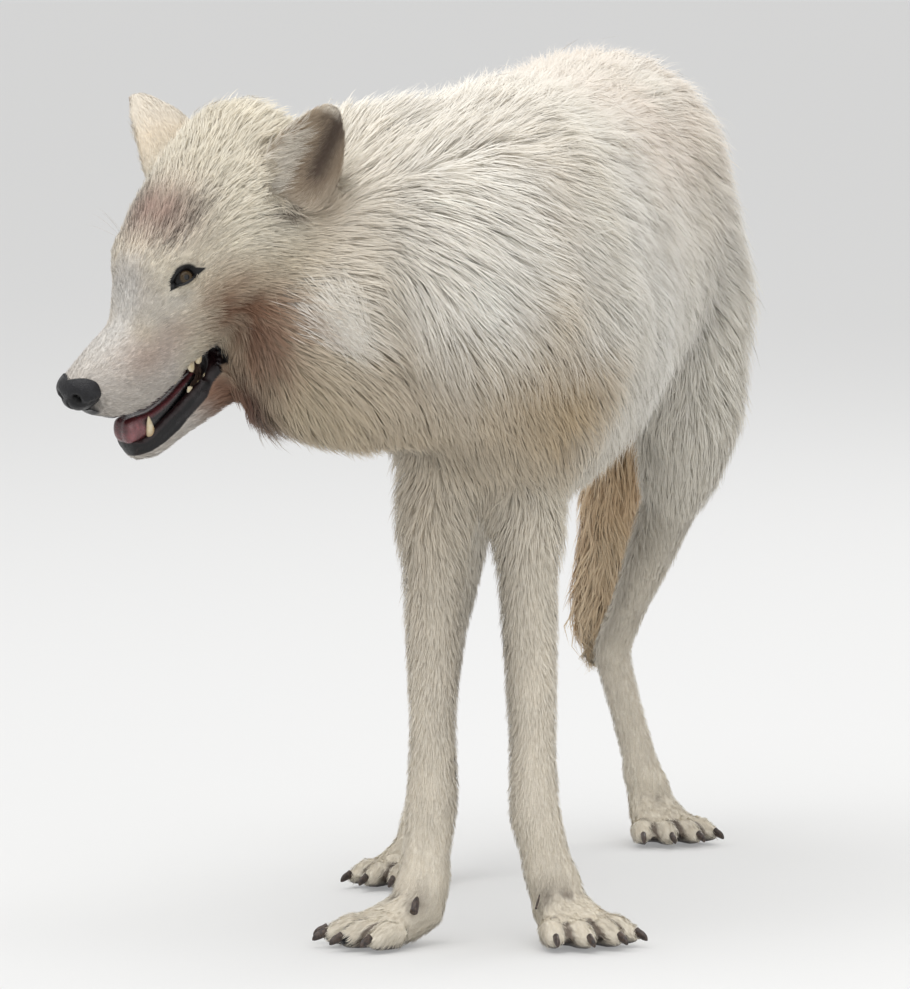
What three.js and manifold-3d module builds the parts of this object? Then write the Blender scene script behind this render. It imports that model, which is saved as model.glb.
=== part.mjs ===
// An arctic wolf standing still on its four feet, life size, head turned to its right, mouth open.
// Millimetres, +Z up. The wolf faces -Y and its left side is +X. The origin is the middle of its footprint
// box, on the floor. Every solid is the outer form of the coat, which is 3 to 4 cm deep on the body, under a
// centimetre on the legs and a few millimetres on the face. Neighbouring pieces meet with a thin gap.
import * as THREE from "three";
import { mergeVertices } from "three/addons/utils/BufferGeometryUtils.js";
import Module from "manifold-3d";

const wasm = await Module();
wasm.setup();

// ---- Driving dimensions -------------------------------------------------------------------------

const MID = 20; // X of the body's middle line over the feet
const WITHERS = 838; // top of the coat over the shoulders
const LOIN = 836; // top of the coat at the middle of the back
const CROUP = 852; // top of the coat over the hips, where it stands up
const BRISKET = 408; // lowest coat of the chest, behind the elbows
const BELLY = 452; // lowest coat in front of the thighs
const CHEST_HALF = 143; // half the width of the ribs with their coat
const HIP_HALF = 142; // half the width of the hips with their coat

const LIP_AT = [-326, -232, 526]; // middle of the mouth line, straight under the nose tip
const HEAD_TURN = -39; // degrees, to the wolf's right
const HEAD_DROP = 25.5; // degrees, nose down
const HEAD_TILT = 6.4; // degrees, left ear the lower one
const HEAD_SIZE = 1.055; // this wolf's head against the measures below, which are for a 265 mm skull
const JAW_HINGE = [0, 196, 12]; // in the head's frame
const JAW_OPEN = 20; // degrees
const EYE_RADIUS = 12;
const EYE_AT = [35, 138, 76]; // the left eye in the head's frame
const EAR_AT = [66, 250, 98]; // the left ear's root in the head's frame
const EAR_LONG = 118;

const FOREFOOT = 1; // size of a forefoot against the measures of the foot below
const HINDFOOT = 0.93;
const TAIL_TIP = [-42, 898, 168];

const FETLOCK = 74; // height where a foot is parted from its leg

const GAP = 0.4; // clearance between neighbouring pieces

// ---- Small tools --------------------------------------------------------------------------------

const rad = THREE.MathUtils.degToRad;
const vec = (p) => new THREE.Vector3(...p);
const mirrored = ([x, y, z], side) => [x * side, y, z];

/** A closed BufferGeometry as a solid that can be joined and cut. */
function solid(geometry) {
  const bare = geometry.clone();
  for (const name of Object.keys(bare.attributes)) {
    if (name !== "position") bare.deleteAttribute(name);
  }
  const merged = mergeVertices(bare, 1e-4);
  const vertProperties = new Float32Array(merged.attributes.position.array);
  const triVerts = new Uint32Array(merged.index.array);
  return new wasm.Manifold(new wasm.Mesh({ numProp: 3, vertProperties, triVerts }));
}

/** A solid as a BufferGeometry with one normal for each facet. */
function geometryOf(body) {
  const mesh = body.getMesh();
  const geometry = new THREE.BufferGeometry();
  const position = new THREE.BufferAttribute(new Float32Array(mesh.vertProperties), 3);
  geometry.setAttribute("position", position);
  geometry.setIndex(new THREE.BufferAttribute(new Uint32Array(mesh.triVerts), 1));
  const facets = geometry.toNonIndexed();
  facets.computeVertexNormals();
  return facets;
}

const join = (bodies) => bodies.reduce((all, body) => all.add(body));

/** A body less the room of its neighbours. A chip that the cuts leave loose is dropped. */
function cut(body, tools) {
  const parts = tools.reduce((left, tool) => left.subtract(tool), body).decompose();
  return parts.reduce((most, part) => (part.volume() > most.volume() ? part : most));
}

/** One ring of a loft: centre, half width, reach on its upper and lower side, squareness (2: an ellipse). */
const ring = (at, half, up, down = up, square = 2) => ({ at, half, up, down, square });

/** A ring of a body that runs along Y, from the heights of its top and bottom. */
const station = (x, y, top, bottom, half, square) =>
  ring([x, y, (top + bottom) / 2], half, (top - bottom) / 2, (top - bottom) / 2, square);

/** The same rings with all sizes grown by a clearance. */
const grown = (rings, by) =>
  rings.map((r) => ({ ...r, half: r.half + by, up: r.up + by, down: r.down + by }));

/**
 * A closed body swept through rings. The rings stand square to the line through their centres, and "side"
 * points along their width. The upper side is side x travel: up for a body that runs backwards, rearwards for
 * a leg that runs down. Each end is a dome, or flat where its share is 0. Each swell lifts the surface near a
 * point, or sinks it where the lift is negative.
 */
function loft(rings, { side = [1, 0, 0], around = 12, domes = [0.5, 0.5], swells = [] } = {}) {
  const path = new THREE.CatmullRomCurve3(rings.map((r) => vec(r.at)), false, "centripetal");
  const travelAt = (i) => path.getTangent(i / (rings.length - 1));
  const circles = [];

  const addCircle = (i, shrink, shift) => {
    const { at, half, up, down, square } = rings[i];
    const centre = vec(at);
    const travel = travelAt(i);
    const across = vec(side).addScaledVector(travel, -vec(side).dot(travel)).normalize();
    const upward = new THREE.Vector3().crossVectors(across, travel);
    const power = 2 / square;
    const circle = [];
    for (let k = 0; k < around; k++) {
      const angle = (k / around) * 2 * Math.PI;
      const [c, s] = [Math.cos(angle), Math.sin(angle)];
      const wide = Math.sign(c) * Math.abs(c) ** power * half * shrink;
      const high = Math.sign(s) * Math.abs(s) ** power * (s > 0 ? up : down) * shrink;
      const point = centre.clone().addScaledVector(across, wide).addScaledVector(upward, high);
      const outward = point.clone().sub(centre).normalize();
      for (const swell of swells) {
        const near = point.distanceTo(vec(swell.at)) / swell.radius;
        point.addScaledVector(outward, swell.lift * Math.exp(-near * near) * shrink);
      }
      circle.push(point.addScaledVector(travel, shift));
    }
    circles.push(circle);
  };
  const endOf = (i, share, sign) => {
    const { at, half, up, down } = rings[i];
    const reach = sign * share * Math.min(half, up, down);
    if (share) addCircle(i, Math.SQRT1_2, reach * Math.SQRT1_2);
    return vec(at).addScaledVector(travelAt(i), reach);
  };

  const first = endOf(0, domes[0], -1);
  rings.forEach((_, i) => addCircle(i, 1, 0));
  const last = endOf(rings.length - 1, domes[1], 1);

  const positions = [];
  const triangle = (...corners) => corners.forEach((corner) => positions.push(corner.x, corner.y, corner.z));
  for (let k = 0; k < around; k++) {
    const n = (k + 1) % around;
    triangle(first, circles[0][k], circles[0][n]);
    for (let i = 0; i + 1 < circles.length; i++) {
      const [a, b] = [circles[i], circles[i + 1]];
      triangle(a[k], b[k], b[n]);
      triangle(a[k], b[n], a[n]);
    }
    triangle(last, circles.at(-1)[n], circles.at(-1)[k]);
  }
  const geometry = new THREE.BufferGeometry();
  geometry.setAttribute("position", new THREE.Float32BufferAttribute(positions, 3));
  return geometry;
}

/** A lofted piece: its body, and the room it takes in its neighbours. */
function piece(rings, options = {}, matrix = new THREE.Matrix4()) {
  return {
    body: solid(loft(rings, options).applyMatrix4(matrix)),
    room: solid(loft(grown(rings, GAP), options).applyMatrix4(matrix)),
  };
}

/** Turned about Z, then nodded about X, then rolled about Y, and set at a point. */
function poseMatrix(at, turn, nod = 0, roll = 0, size = 1) {
  const rotation = new THREE.Euler(rad(nod), rad(roll), rad(turn), "ZXY");
  const quaternion = new THREE.Quaternion().setFromEuler(rotation);
  return new THREE.Matrix4().compose(vec(at), quaternion, new THREE.Vector3(size, size, size));
}

// ---- Body ---------------------------------------------------------------------------------------

/** The barrel from the point of the chest to the buttocks. */
function makeTrunk() {
  const chestMiddle = (WITHERS + BRISKET) / 2;
  const rings = [
    station(MID - 26, -74, chestMiddle + 70, BRISKET + 60, 76, 2),
    station(MID - 12, -26, WITHERS - 40, BRISKET + 22, 118, 2.1),
    station(MID, 60, WITHERS, BRISKET, CHEST_HALF, 2.2),
    station(MID, 180, WITHERS + 2, BRISKET - 4, CHEST_HALF + 4, 2.2),
    station(MID, 310, LOIN, BRISKET + 20, CHEST_HALF + 2, 2.2),
    station(MID, 430, LOIN + 4, BELLY, CHEST_HALF - 6, 2.2),
    station(MID, 535, CROUP - 6, BELLY + 34, HIP_HALF - 6, 2.2),
    station(MID, 630, CROUP, BELLY + 70, HIP_HALF, 2.2),
    station(MID, 715, CROUP - 34, BELLY + 96, HIP_HALF - 20, 2.2),
    station(MID, 770, CROUP - 98, BELLY + 130, HIP_HALF - 56, 2.1),
  ];
  const swells = [
    { at: [MID + CHEST_HALF, 70, 590], radius: 90, lift: 8 },
    { at: [MID - CHEST_HALF, 70, 590], radius: 90, lift: 8 },
  ];
  return piece(rings, { around: 16, domes: [0.45, 0.45], swells });
}

/** The neck in its ruff, from behind the skull into the shoulders. */
function makeNeck() {
  const rings = [
    ring([-184, -70, 684], 88, 140, 138, 2),
    ring([-150, -52, 670], 108, 160, 172, 2.1),
    ring([-96, -22, 662], 124, 166, 184, 2.1),
    ring([-40, 22, 656], 132, 176, 180, 2.1),
    ring([2, 84, 652], 126, 176, 160, 2),
  ];
  return piece(rings, { around: 13, domes: [0.3, 0.3] });
}

/** The tail hangs from the croup, bushy and pointed. */
function makeTail() {
  const [x, y, z] = TAIL_TIP;
  const rings = [
    ring([MID, 742, 690], 26, 26),
    ring([MID - 2, 796, 652], 33, 33),
    ring([MID - 10, 846, 560], 42, 40),
    ring([MID - 30, 880, 430], 45, 41),
    ring([x + 14, y - 4, 310], 38, 36),
    ring([x + 4, y, 220], 26, 26),
    ring([x, y, z + 14], 10, 10),
  ];
  return piece(rings, { domes: [0.8, 1] });
}

// ---- Head ---------------------------------------------------------------------------------------
// In the head's own frame the nose points to -Y and the origin is on the mouth line under the nose tip.

const HEAD = poseMatrix(LIP_AT, HEAD_TURN, HEAD_DROP, HEAD_TILT, HEAD_SIZE);
const JAW = HEAD.clone()
  .multiply(new THREE.Matrix4().makeTranslation(...JAW_HINGE))
  .multiply(new THREE.Matrix4().makeRotationX(rad(JAW_OPEN)))
  .multiply(new THREE.Matrix4().makeTranslation(...JAW_HINGE.map((v) => -v)));

/** Muzzle, brow, cheeks and crown. */
function makeSkull() {
  const rings = [
    station(0, 20, 41, -2, 21, 2.3),
    station(0, 38, 45, -13, 27, 2.3),
    station(0, 64, 51, -21, 32, 2.3),
    station(0, 94, 59, -23, 37, 2.2),
    station(0, 116, 75, -18, 41, 2.2),
    station(0, 140, 113, -17, 58, 2.2),
    station(0, 180, 146, -34, 82, 2.2),
    station(0, 224, 168, -58, 95, 2.1),
    station(0, 268, 181, -66, 98, 2),
    station(0, 300, 172, -58, 90, 2),
  ];
  const swells = [-1, 1].flatMap((side) => [
    { at: mirrored([34, 136, 108], side), radius: 22, lift: 6 }, // brow over the eye
    { at: mirrored([50, 132, 80], side), radius: 20, lift: -9 }, // socket of the eye
    { at: mirrored([92, 236, 14], side), radius: 46, lift: 13 }, // ruff of the cheek
    { at: mirrored([28, 40, 22], side), radius: 24, lift: 3 }, // whisker pad
  ]);
  return piece(rings, { around: 16, swells, domes: [0.35, 0.4] }, HEAD);
}

/** The lower jaw, hollow between its lips where the tongue lies. */
function makeJaw() {
  const rings = [
    station(0, 38, 0, -24, 16, 2.4),
    station(0, 54, 0, -31, 21, 2.5),
    station(0, 88, -1, -38, 27, 2.5),
    station(0, 126, -2, -50, 36, 2.4),
    station(0, 168, 4, -64, 47, 2.2),
    station(0, 204, 6, -68, 50, 2.2),
  ];
  return piece(rings, { around: 10, domes: [0.6, 0.3] }, JAW);
}

/** The hollow between the rows of lower teeth. */
function makeMouthFloor() {
  const rings = [
    station(0, 44, 16, -9, 9),
    station(0, 66, 18, -12, 14),
    station(0, 102, 20, -15, 19),
    station(0, 138, 22, -16, 23),
  ];
  return piece(rings, { around: 8 }, JAW);
}

/** The tongue lies on the floor of the mouth, its front edge over the lower teeth. */
function makeTongue() {
  const rings = [
    ring([0, 46, 8], 10, 7, 4),
    ring([0, 58, 8], 13, 11, 8),
    ring([0, 86, 3], 14, 10, 8),
    ring([0, 122, -4], 15, 8, 6),
  ];
  return piece(rings, { around: 8, domes: [0.8, 0.6] }, JAW);
}

/** One pointed tooth, with its root sunk in the gum. A negative length points down. */
function makeTooth(at, long, thick, matrix) {
  const root = 5;
  const cone = new THREE.ConeGeometry(thick, Math.abs(long) + root, 4);
  cone.translate(0, (Math.abs(long) - root) / 2, 0).rotateX(Math.sign(long) * Math.PI / 2);
  return solid(cone.translate(...at).applyMatrix4(matrix));
}

/**
 * Canines, incisors and cheek teeth of one jaw, pointing up (1) or down (-1). The gum has a height at the
 * front and a slope towards the back.
 */
function makeTeeth(pointing, matrix, gum, slope, front, width) {
  const teeth = [];
  const grow = (x, y, long, thick) => {
    const z = gum + slope * (y - front);
    teeth.push(makeTooth([x, y, z], pointing * long, thick, matrix));
  };
  for (const side of [-1, 1]) {
    grow(side * width * 0.62, front + 9, 15, 3.6);
    for (const k of [0, 1, 2]) grow(side * (2.4 + k * 4), front + k * 1.5, 6, 2.4);
    for (const k of [0, 1, 2]) grow(side * (width * 0.76 + k * 4), front + 38 + k * 25, 11 + k, 5 + k * 0.6);
  }
  return teeth;
}

/** The nose pad. */
function makeNose() {
  const rings = [
    ring([0, 44, 24], 20, 14, 16, 2.4),
    ring([0, 24, 21], 25, 18, 19, 2.4),
    ring([0, 9, 20], 21, 16, 17, 2.3),
  ];
  const toFront = { side: [-1, 0, 0], around: 12, domes: [0.3, 0.4] };
  return piece(rings, toFront, HEAD);
}

/** An eyeball, which looks out through the opening of its lids. */
function makeEye(side) {
  const ball = (at, radius) => {
    const { x, y, z } = vec(mirrored(at, side)).applyMatrix4(HEAD);
    return solid(new THREE.SphereGeometry(radius, 8, 6).translate(x, y, z));
  };
  const lids = vec(EYE_AT).add(vec([10, -5, 4])).toArray();
  const room = join([ball(EYE_AT, EYE_RADIUS + GAP), ball(lids, EYE_RADIUS * 0.75)]);
  return { body: ball(EYE_AT, EYE_RADIUS), room };
}

/**
 * An ear, a cup that opens forwards. The left one leans back, the right one is laid out to the side. Each is
 * given by the way it points and the way it opens, in the head's frame, and by how wide it is.
 */
function makeEar(side, pointing, opening, wide) {
  const root = vec(mirrored(EAR_AT, side));
  const along = vec(pointing).normalize();
  const open = vec(opening).addScaledVector(along, -vec(opening).dot(along)).normalize();
  const width = new THREE.Vector3().crossVectors(along, open).toArray();
  const place = (share, forward) => {
    const bend = forward + 10 * Math.sin(share * Math.PI);
    return root.clone().addScaledVector(along, share * EAR_LONG).addScaledVector(open, -bend).toArray();
  };
  const shell = [
    ring(place(-0.12, 0), 40 * wide, 20, 24),
    ring(place(0.14, 0), 42 * wide, 16, 20),
    ring(place(0.42, 0), 37 * wide, 10, 14),
    ring(place(0.72, 0), 26 * wide, 7, 9),
    ring(place(0.94, 0), 11 * wide, 5, 5),
  ];
  const cup = [
    ring(place(0.14, -13), 26 * wide, 20, 12),
    ring(place(0.42, -11), 29 * wide, 16, 13),
    ring(place(0.7, -8), 19 * wide, 10, 9),
    ring(place(0.86, -6), 8 * wide, 6, 5),
  ];
  const options = { side: width, around: 11, domes: [0.4, 0.8] };
  const ear = piece(shell, options, HEAD);
  const hollow = piece(cup, { side: width, around: 7, domes: [0.6, 0.6] }, HEAD);
  return { body: ear.body.subtract(hollow.body), room: ear.room };
}

// ---- Legs ---------------------------------------------------------------------------------------
// Each leg is an upper part, a lower part and a foot, through four places: its top inside the trunk, its
// elbow or stifle, its wrist or hock, and the middle of its foot on the floor, turned by some degrees.

const limb = (top, joint, low, foot, turn) => ({ top, joint, low, foot, turn });
const LEGS = {
  front_left: limb([66, 100, 560], [52, 90, 430], [70, 45, 122], [113, 24], 40),
  front_right: limb([-30, 80, 560], [-34, 60, 430], [-28, 26, 138], [-60, -20], -50),
  hind_left: limb([98, 672, 676], [106, 664, 420], [-12, 848, 198], [52, 812], 35),
  hind_right: limb([-58, 660, 676], [-84, 506, 438], [-132, 533, 190], [-140, 416], -15),
};
const HIND_FROM = 300;
const isHind = (leg) => leg.foot[1] > HIND_FROM;

const between = (a, b, share) => vec(a).lerp(vec(b), share).toArray();
const heelOf = (leg) => new THREE.Vector3(0, 34, 48).applyMatrix4(footMatrix(leg)).toArray();
const footMatrix = (leg) => {
  const size = isHind(leg) ? HINDFOOT : FOREFOOT;
  return poseMatrix([...leg.foot, 0], leg.turn, 0, 0, size);
};

/** Shoulder and elbow, or hip and thigh. */
function makeUpperLeg(leg) {
  const { top, joint, low } = leg;
  const [x, y, z] = joint;
  const rings = isHind(leg)
    ? [
        ring(top, 64, 84, 100),
        ring(between(top, joint, 0.4), 74, 100, 104),
        ring([x, y, z + 34], 54, 72, 70),
        ring(between(joint, low, 0.16), 41, 50, 46),
      ]
    : [
        ring(top, 42, 60, 60),
        ring(between(top, joint, 0.55), 45, 60, 56),
        ring([x, y, z - 4], 43, 48, 46),
        ring(between(joint, low, 0.16), 39, 39, 38),
      ];
  return piece(rings, { around: 10, domes: [0.5, 0] });
}

/** Forearm to pastern, or shank to pastern. */
function makeLowerLeg(leg) {
  const { joint, low } = leg;
  const heel = heelOf(leg);
  const rings = isHind(leg)
    ? [
        ring(between(joint, low, 0.04), 36, 42, 40),
        ring(between(joint, low, 0.4), 31, 38, 34),
        ring(between(joint, low, 0.76), 24, 29, 25),
        ring(low, 25, 33, 24),
        ring(between(low, heel, 0.45), 23, 24, 22),
        ring(heel, 25, 24, 24),
      ]
    : [
        ring(between(joint, low, 0.04), 37, 37, 36),
        ring(between(joint, low, 0.4), 32, 31, 31),
        ring(between(joint, low, 0.76), 27, 26, 26),
        ring(low, 31, 27, 30),
        ring(between(low, heel, 0.55), 29, 26, 27),
        ring(heel, 29, 26, 27),
      ];
  return piece(rings, { around: 10, domes: [0, 0.5] });
}

/** The four toes of a foot, from one side to the other, each with its claw pointing to the floor. */
function makeToes(leg) {
  const matrix = footMatrix(leg);
  return [-1.5, -0.5, 0.5, 1.5].map((k) => {
    const splay = rad(k * 13);
    const reach = Math.abs(k) > 1 ? 46 : 60;
    const at = (far, high) => [k * 19 + Math.sin(splay) * far, -Math.cos(splay) * far, high];
    const rings = [
      ring(at(reach, 12), 12, 10, 14),
      ring(at(reach - 22, 20), 15, 15, 24),
      ring(at(4, 18), 15, 12, 22),
    ];
    const toe = piece(rings, { around: 6, domes: [0.7, 0] }, matrix);
    const claw = makeClaw([at(reach, 15), at(reach + 12, 13), at(reach + 23, 5)], toe, matrix);
    return { toe, claw };
  });
}

/** A claw through three points, its root cut to the toe that it grows from. */
function makeClaw([root, middle, tip], toe, matrix) {
  const rings = [ring(root, 3.8, 4.6), ring(middle, 3.2, 4), ring(tip, 1.2, 1.6)];
  const claw = solid(loft(rings, { around: 5, domes: [0, 0.5] }).applyMatrix4(matrix));
  return cut(claw, [toe.room]);
}

/** The sole and pastern, which the toes are joined to. */
function makePalm(leg) {
  const palm = [
    ring([0, -22, 20], 37, 15, 24, 2.4),
    ring([0, 4, 26], 36, 20, 30, 2.4),
    ring([0, 30, 40], 29, 24, 34, 2.2),
    ring([0, 40, 62], 27, 24, 24, 2),
  ];
  return piece(palm, { around: 9, domes: [0.3, 0] }, footMatrix(leg));
}

/** The small claw on the inner side of a foreleg, above the foot. */
function makeDewclaw(leg, side, palm) {
  const inner = -side;
  const points = [[inner * 20, 22, 58], [inner * 33, 16, 52], [inner * 36, 8, 42]];
  return makeClaw(points, palm, footMatrix(leg));
}

// ---- Putting the wolf together ------------------------------------------------------------------

/** All the space from one height up to another. */
function layer(low, high) {
  const wide = 3000;
  return solid(new THREE.BoxGeometry(wide, wide, high - low).translate(0, 0, (low + high) / 2));
}
const UNDER_ALL = -300;
const OVER_ALL = 1500;
const underFetlock = layer(UNDER_ALL, FETLOCK + GAP);
const beyondFoot = [layer(UNDER_ALL, 0), layer(FETLOCK, OVER_ALL)];

const trunk = makeTrunk();
const neck = makeNeck();
const tail = makeTail();
const skull = makeSkull();
const jaw = makeJaw();
const tongue = makeTongue();
const nose = makeNose();
const eyes = { left: makeEye(1), right: makeEye(-1) };
const ears = {
  left: makeEar(1, [0.47, 0.42, 0.79], [0.7, -0.6, 0], 1.06),
  right: makeEar(-1, [-0.76, 0.28, 0.58], [-0.6, -0.3, -0.65], 1.22),
};

const COAT = { color: 0xe8dccb, roughness: 0.9 };
const DEEP_COAT = { color: 0xd9b48c, roughness: 0.9 };
const LEG_COAT = { color: 0xe4d8c4, roughness: 0.85 };
const HORN = { color: 0x3a2c24, roughness: 0.45 };
const NOSE = { color: 0x3b3d44, roughness: 0.5 };
const TONGUE = { color: 0x7d3a3d, roughness: 0.4 };
const EYE = { color: 0x2c1c12, roughness: 0.1 };

const wolf = new THREE.Group();
function add(name, body, look) {
  const material = new THREE.MeshStandardMaterial({ metalness: 0, ...look });
  const mesh = new THREE.Mesh(geometryOf(body), material);
  mesh.name = name;
  wolf.add(mesh);
}

const upperLegs = {};
for (const [name, leg] of Object.entries(LEGS)) upperLegs[name] = makeUpperLeg(leg);
const upperRooms = Object.values(upperLegs).map((upper) => upper.room);

const upperTeeth = makeTeeth(-1, HEAD, 2, -0.17, 24, 25);
const lowerTeeth = makeTeeth(1, JAW, -3, 0, 37, 21);
const head = cut(join([skull.body, ...upperTeeth]), [nose.room, eyes.left.room, eyes.right.room]);
add("head", cut(head, [ears.left.room, ears.right.room]), COAT);
const openJaw = cut(jaw.body, [makeMouthFloor().body]);
add("lower_jaw", cut(join([openJaw, ...lowerTeeth]), [skull.room, tongue.room]), COAT);
add("tongue", cut(tongue.body, [skull.room]), TONGUE);
add("nose", nose.body, NOSE);
add("neck", cut(neck.body, [skull.room, jaw.room, ears.left.room, ears.right.room, ...upperRooms]), COAT);
add("trunk", cut(trunk.body, [neck.room, tail.room, ...upperRooms]), COAT);
add("tail", tail.body, DEEP_COAT);
for (const side of ["left", "right"]) {
  add(`ear_${side}`, ears[side].body, COAT);
  add(`eye_${side}`, eyes[side].body, EYE);
}

for (const [name, leg] of Object.entries(LEGS)) {
  const lower = makeLowerLeg(leg);
  const palm = makePalm(leg);
  const toes = makeToes(leg);
  const shank = join([lower.body, palm.body, ...toes.map(({ toe }) => toe.body)]);
  add(`leg_${name}_upper`, upperLegs[name].body, COAT);
  add(`leg_${name}_lower`, cut(shank, [upperLegs[name].room, underFetlock]), LEG_COAT);
  add(`foot_${name}`, cut(shank, beyondFoot), LEG_COAT);
  toes.forEach(({ claw }, k) => add(`claw_${name}_${k + 1}`, claw, HORN));
  if (name.startsWith("front")) {
    const dewclaw = makeDewclaw(leg, name.endsWith("left") ? 1 : -1, palm);
    add(`dewclaw_${name}`, cut(dewclaw, [lower.room]), HORN);
  }
}

// The origin is the middle of the footprint box, on the floor.
const box = new THREE.Box3().setFromObject(wolf);
wolf.position.set(-(box.min.x + box.max.x) / 2, -(box.min.y + box.max.y) / 2, -box.min.z);

export default wolf;
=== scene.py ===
"""An arctic wolf in its coat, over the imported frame: skin, fur, eyes, nose, mouth and claws. Metres.

The wolf faces -Y, its left side is +X. The head has a frame of its own, in millimetres of a standard skull:
x to its left, y back from the nose, z up from the mouth line. It is found from the eyes and the nose. The
lower jaw's frame is the head's, opened round the hinge.
"""
import math
from contextlib import contextmanager

import bmesh
import bpy
import numpy as np
from mathutils import Matrix, Vector
from mathutils.bvhtree import BVHTree
from mathutils.kdtree import KDTree


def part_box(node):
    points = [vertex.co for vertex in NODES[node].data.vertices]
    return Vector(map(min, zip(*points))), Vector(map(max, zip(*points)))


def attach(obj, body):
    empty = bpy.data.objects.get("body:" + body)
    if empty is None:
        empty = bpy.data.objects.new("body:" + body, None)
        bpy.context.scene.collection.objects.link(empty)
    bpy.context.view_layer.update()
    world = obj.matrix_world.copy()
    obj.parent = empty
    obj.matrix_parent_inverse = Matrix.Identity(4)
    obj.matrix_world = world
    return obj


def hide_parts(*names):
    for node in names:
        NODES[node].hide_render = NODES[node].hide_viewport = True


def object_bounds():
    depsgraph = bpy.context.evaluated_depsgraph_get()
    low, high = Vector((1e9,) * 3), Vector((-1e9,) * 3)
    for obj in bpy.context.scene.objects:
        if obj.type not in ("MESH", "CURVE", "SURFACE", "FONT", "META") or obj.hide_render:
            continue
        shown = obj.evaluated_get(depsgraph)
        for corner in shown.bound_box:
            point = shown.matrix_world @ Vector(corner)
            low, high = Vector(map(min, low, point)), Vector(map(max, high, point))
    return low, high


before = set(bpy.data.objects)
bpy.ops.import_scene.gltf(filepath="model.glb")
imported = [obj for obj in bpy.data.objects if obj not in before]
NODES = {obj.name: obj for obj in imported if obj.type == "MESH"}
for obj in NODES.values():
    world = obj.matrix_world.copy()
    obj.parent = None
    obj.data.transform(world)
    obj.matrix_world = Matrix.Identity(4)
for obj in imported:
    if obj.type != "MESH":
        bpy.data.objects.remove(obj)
CAD_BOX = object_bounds()
RNG = np.random.default_rng(20)

LEGS = ("front_left", "front_right", "hind_left", "hind_right")
FACE = ["head", "lower_jaw"]
EARS = ["ear_left", "ear_right"]
UPPERS = [f"leg_{leg}_upper" for leg in LEGS]
LOWERS = [f"leg_{leg}_lower" for leg in LEGS]
FEET = [f"foot_{leg}" for leg in LEGS]
FINE = FACE + EARS + FEET
FLESH = FINE + ["neck", "trunk", "tail"] + UPPERS + LOWERS
UP = np.array([0.0, 0.0, 1.0])
BACK = np.array([0.0, 1.0, 0.0])
SIDES = (1, -1)


# ---- Small tools ----


def unit(v):
    return v / np.maximum(np.linalg.norm(v, axis=-1, keepdims=True), 1e-9)


def step(low, high, x):
    """0 at low, 1 at high, smooth between."""
    t = np.clip((x - low) / (high - low), 0, 1)
    return t * t * (3 - 2 * t)


def hump(x, middle, width):
    return np.exp(-(((x - middle) / width) ** 2))


def mix(a, b, share):
    """From a to b. One share for each row where they are rows of numbers."""
    share = np.asarray(share)
    wide = max(np.ndim(a), np.ndim(b)) > share.ndim or share.ndim and np.shape(b) == (3,)
    return a + (b - a) * (share[..., None] if wide else share)


def near(p, at, radius):
    """1 at a place, falling off smoothly with the distance from it. One radius, or one for each axis."""
    return np.exp(-(((p - np.array(at)) / radius) ** 2).sum(1))


WAVES = 9  # added up in each noise


def waves(p, size, seed):
    """Smooth noise, mostly from -1 to 1, with humps about this size across."""
    draw = np.random.default_rng(seed)
    total = np.zeros(len(p))
    for _ in range(WAVES):
        toward = unit(draw.normal(size=3)) * draw.uniform(0.6, 1.4) * math.pi / size
        total += np.sin(p @ toward + draw.uniform(0, 2 * math.pi))
    return total / math.sqrt(WAVES)


def rounded(values, weights):
    """A row of numbers with its bends rounded off by these weights."""
    return np.convolve(np.pad(values, len(weights) // 2, "edge"), weights, "valid")


def folded(p):
    """Places with x made positive, so that what is said of the left side holds for both."""
    return np.where([True, False, False], np.abs(p), p)


def lies_on(owner, nodes):
    """Which places belong to any of these nodes."""
    return np.isin(owner, [FLESH.index(node) for node in nodes])


def apply(matrix, p):
    m = np.array(matrix)
    return p @ m[:3, :3].T + m[:3, 3]


def centre_of(node):
    low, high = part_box(node)
    return np.array([(a + b) / 2 for a, b in zip(low, high)])


def verts_of(mesh):
    co = np.empty(len(mesh.vertices) * 3, np.float32)
    mesh.vertices.foreach_get("co", co)
    return co.reshape(-1, 3).astype(float)


def triangles_of(mesh):
    mesh.calc_loop_triangles()
    tri = np.empty(len(mesh.loop_triangles) * 3, np.int32)
    mesh.loop_triangles.foreach_get("vertices", tri)
    return tri.reshape(-1, 3)


def object_of(name, data):
    ob = bpy.data.objects.new(name, data)
    bpy.context.scene.collection.objects.link(ob)
    return ob


@contextmanager
def edited(mesh):
    """The mesh opened for editing, and written back at the end."""
    built = bmesh.new()
    built.from_mesh(mesh)
    yield built
    built.to_mesh(mesh)
    built.free()


def smooth_shaded(mesh):
    mesh.polygons.foreach_set("use_smooth", np.ones(len(mesh.polygons), bool))
    return mesh


def evaluated(ob):
    """The object's mesh with its modifiers applied. The object itself goes."""
    graph = bpy.context.evaluated_depsgraph_get()
    mesh = bpy.data.meshes.new_from_object(ob.evaluated_get(graph))
    old = ob.data
    bpy.data.objects.remove(ob)
    bpy.data.meshes.remove(old)
    return mesh


def paint(mesh, colour):
    layer = mesh.color_attributes.new("Coat", "FLOAT_COLOR", "POINT")
    data = np.ones((len(colour), 4), np.float32)
    data[:, :3] = colour
    layer.data.foreach_set("color", data.ravel())


# ---- The head's frame ----

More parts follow.
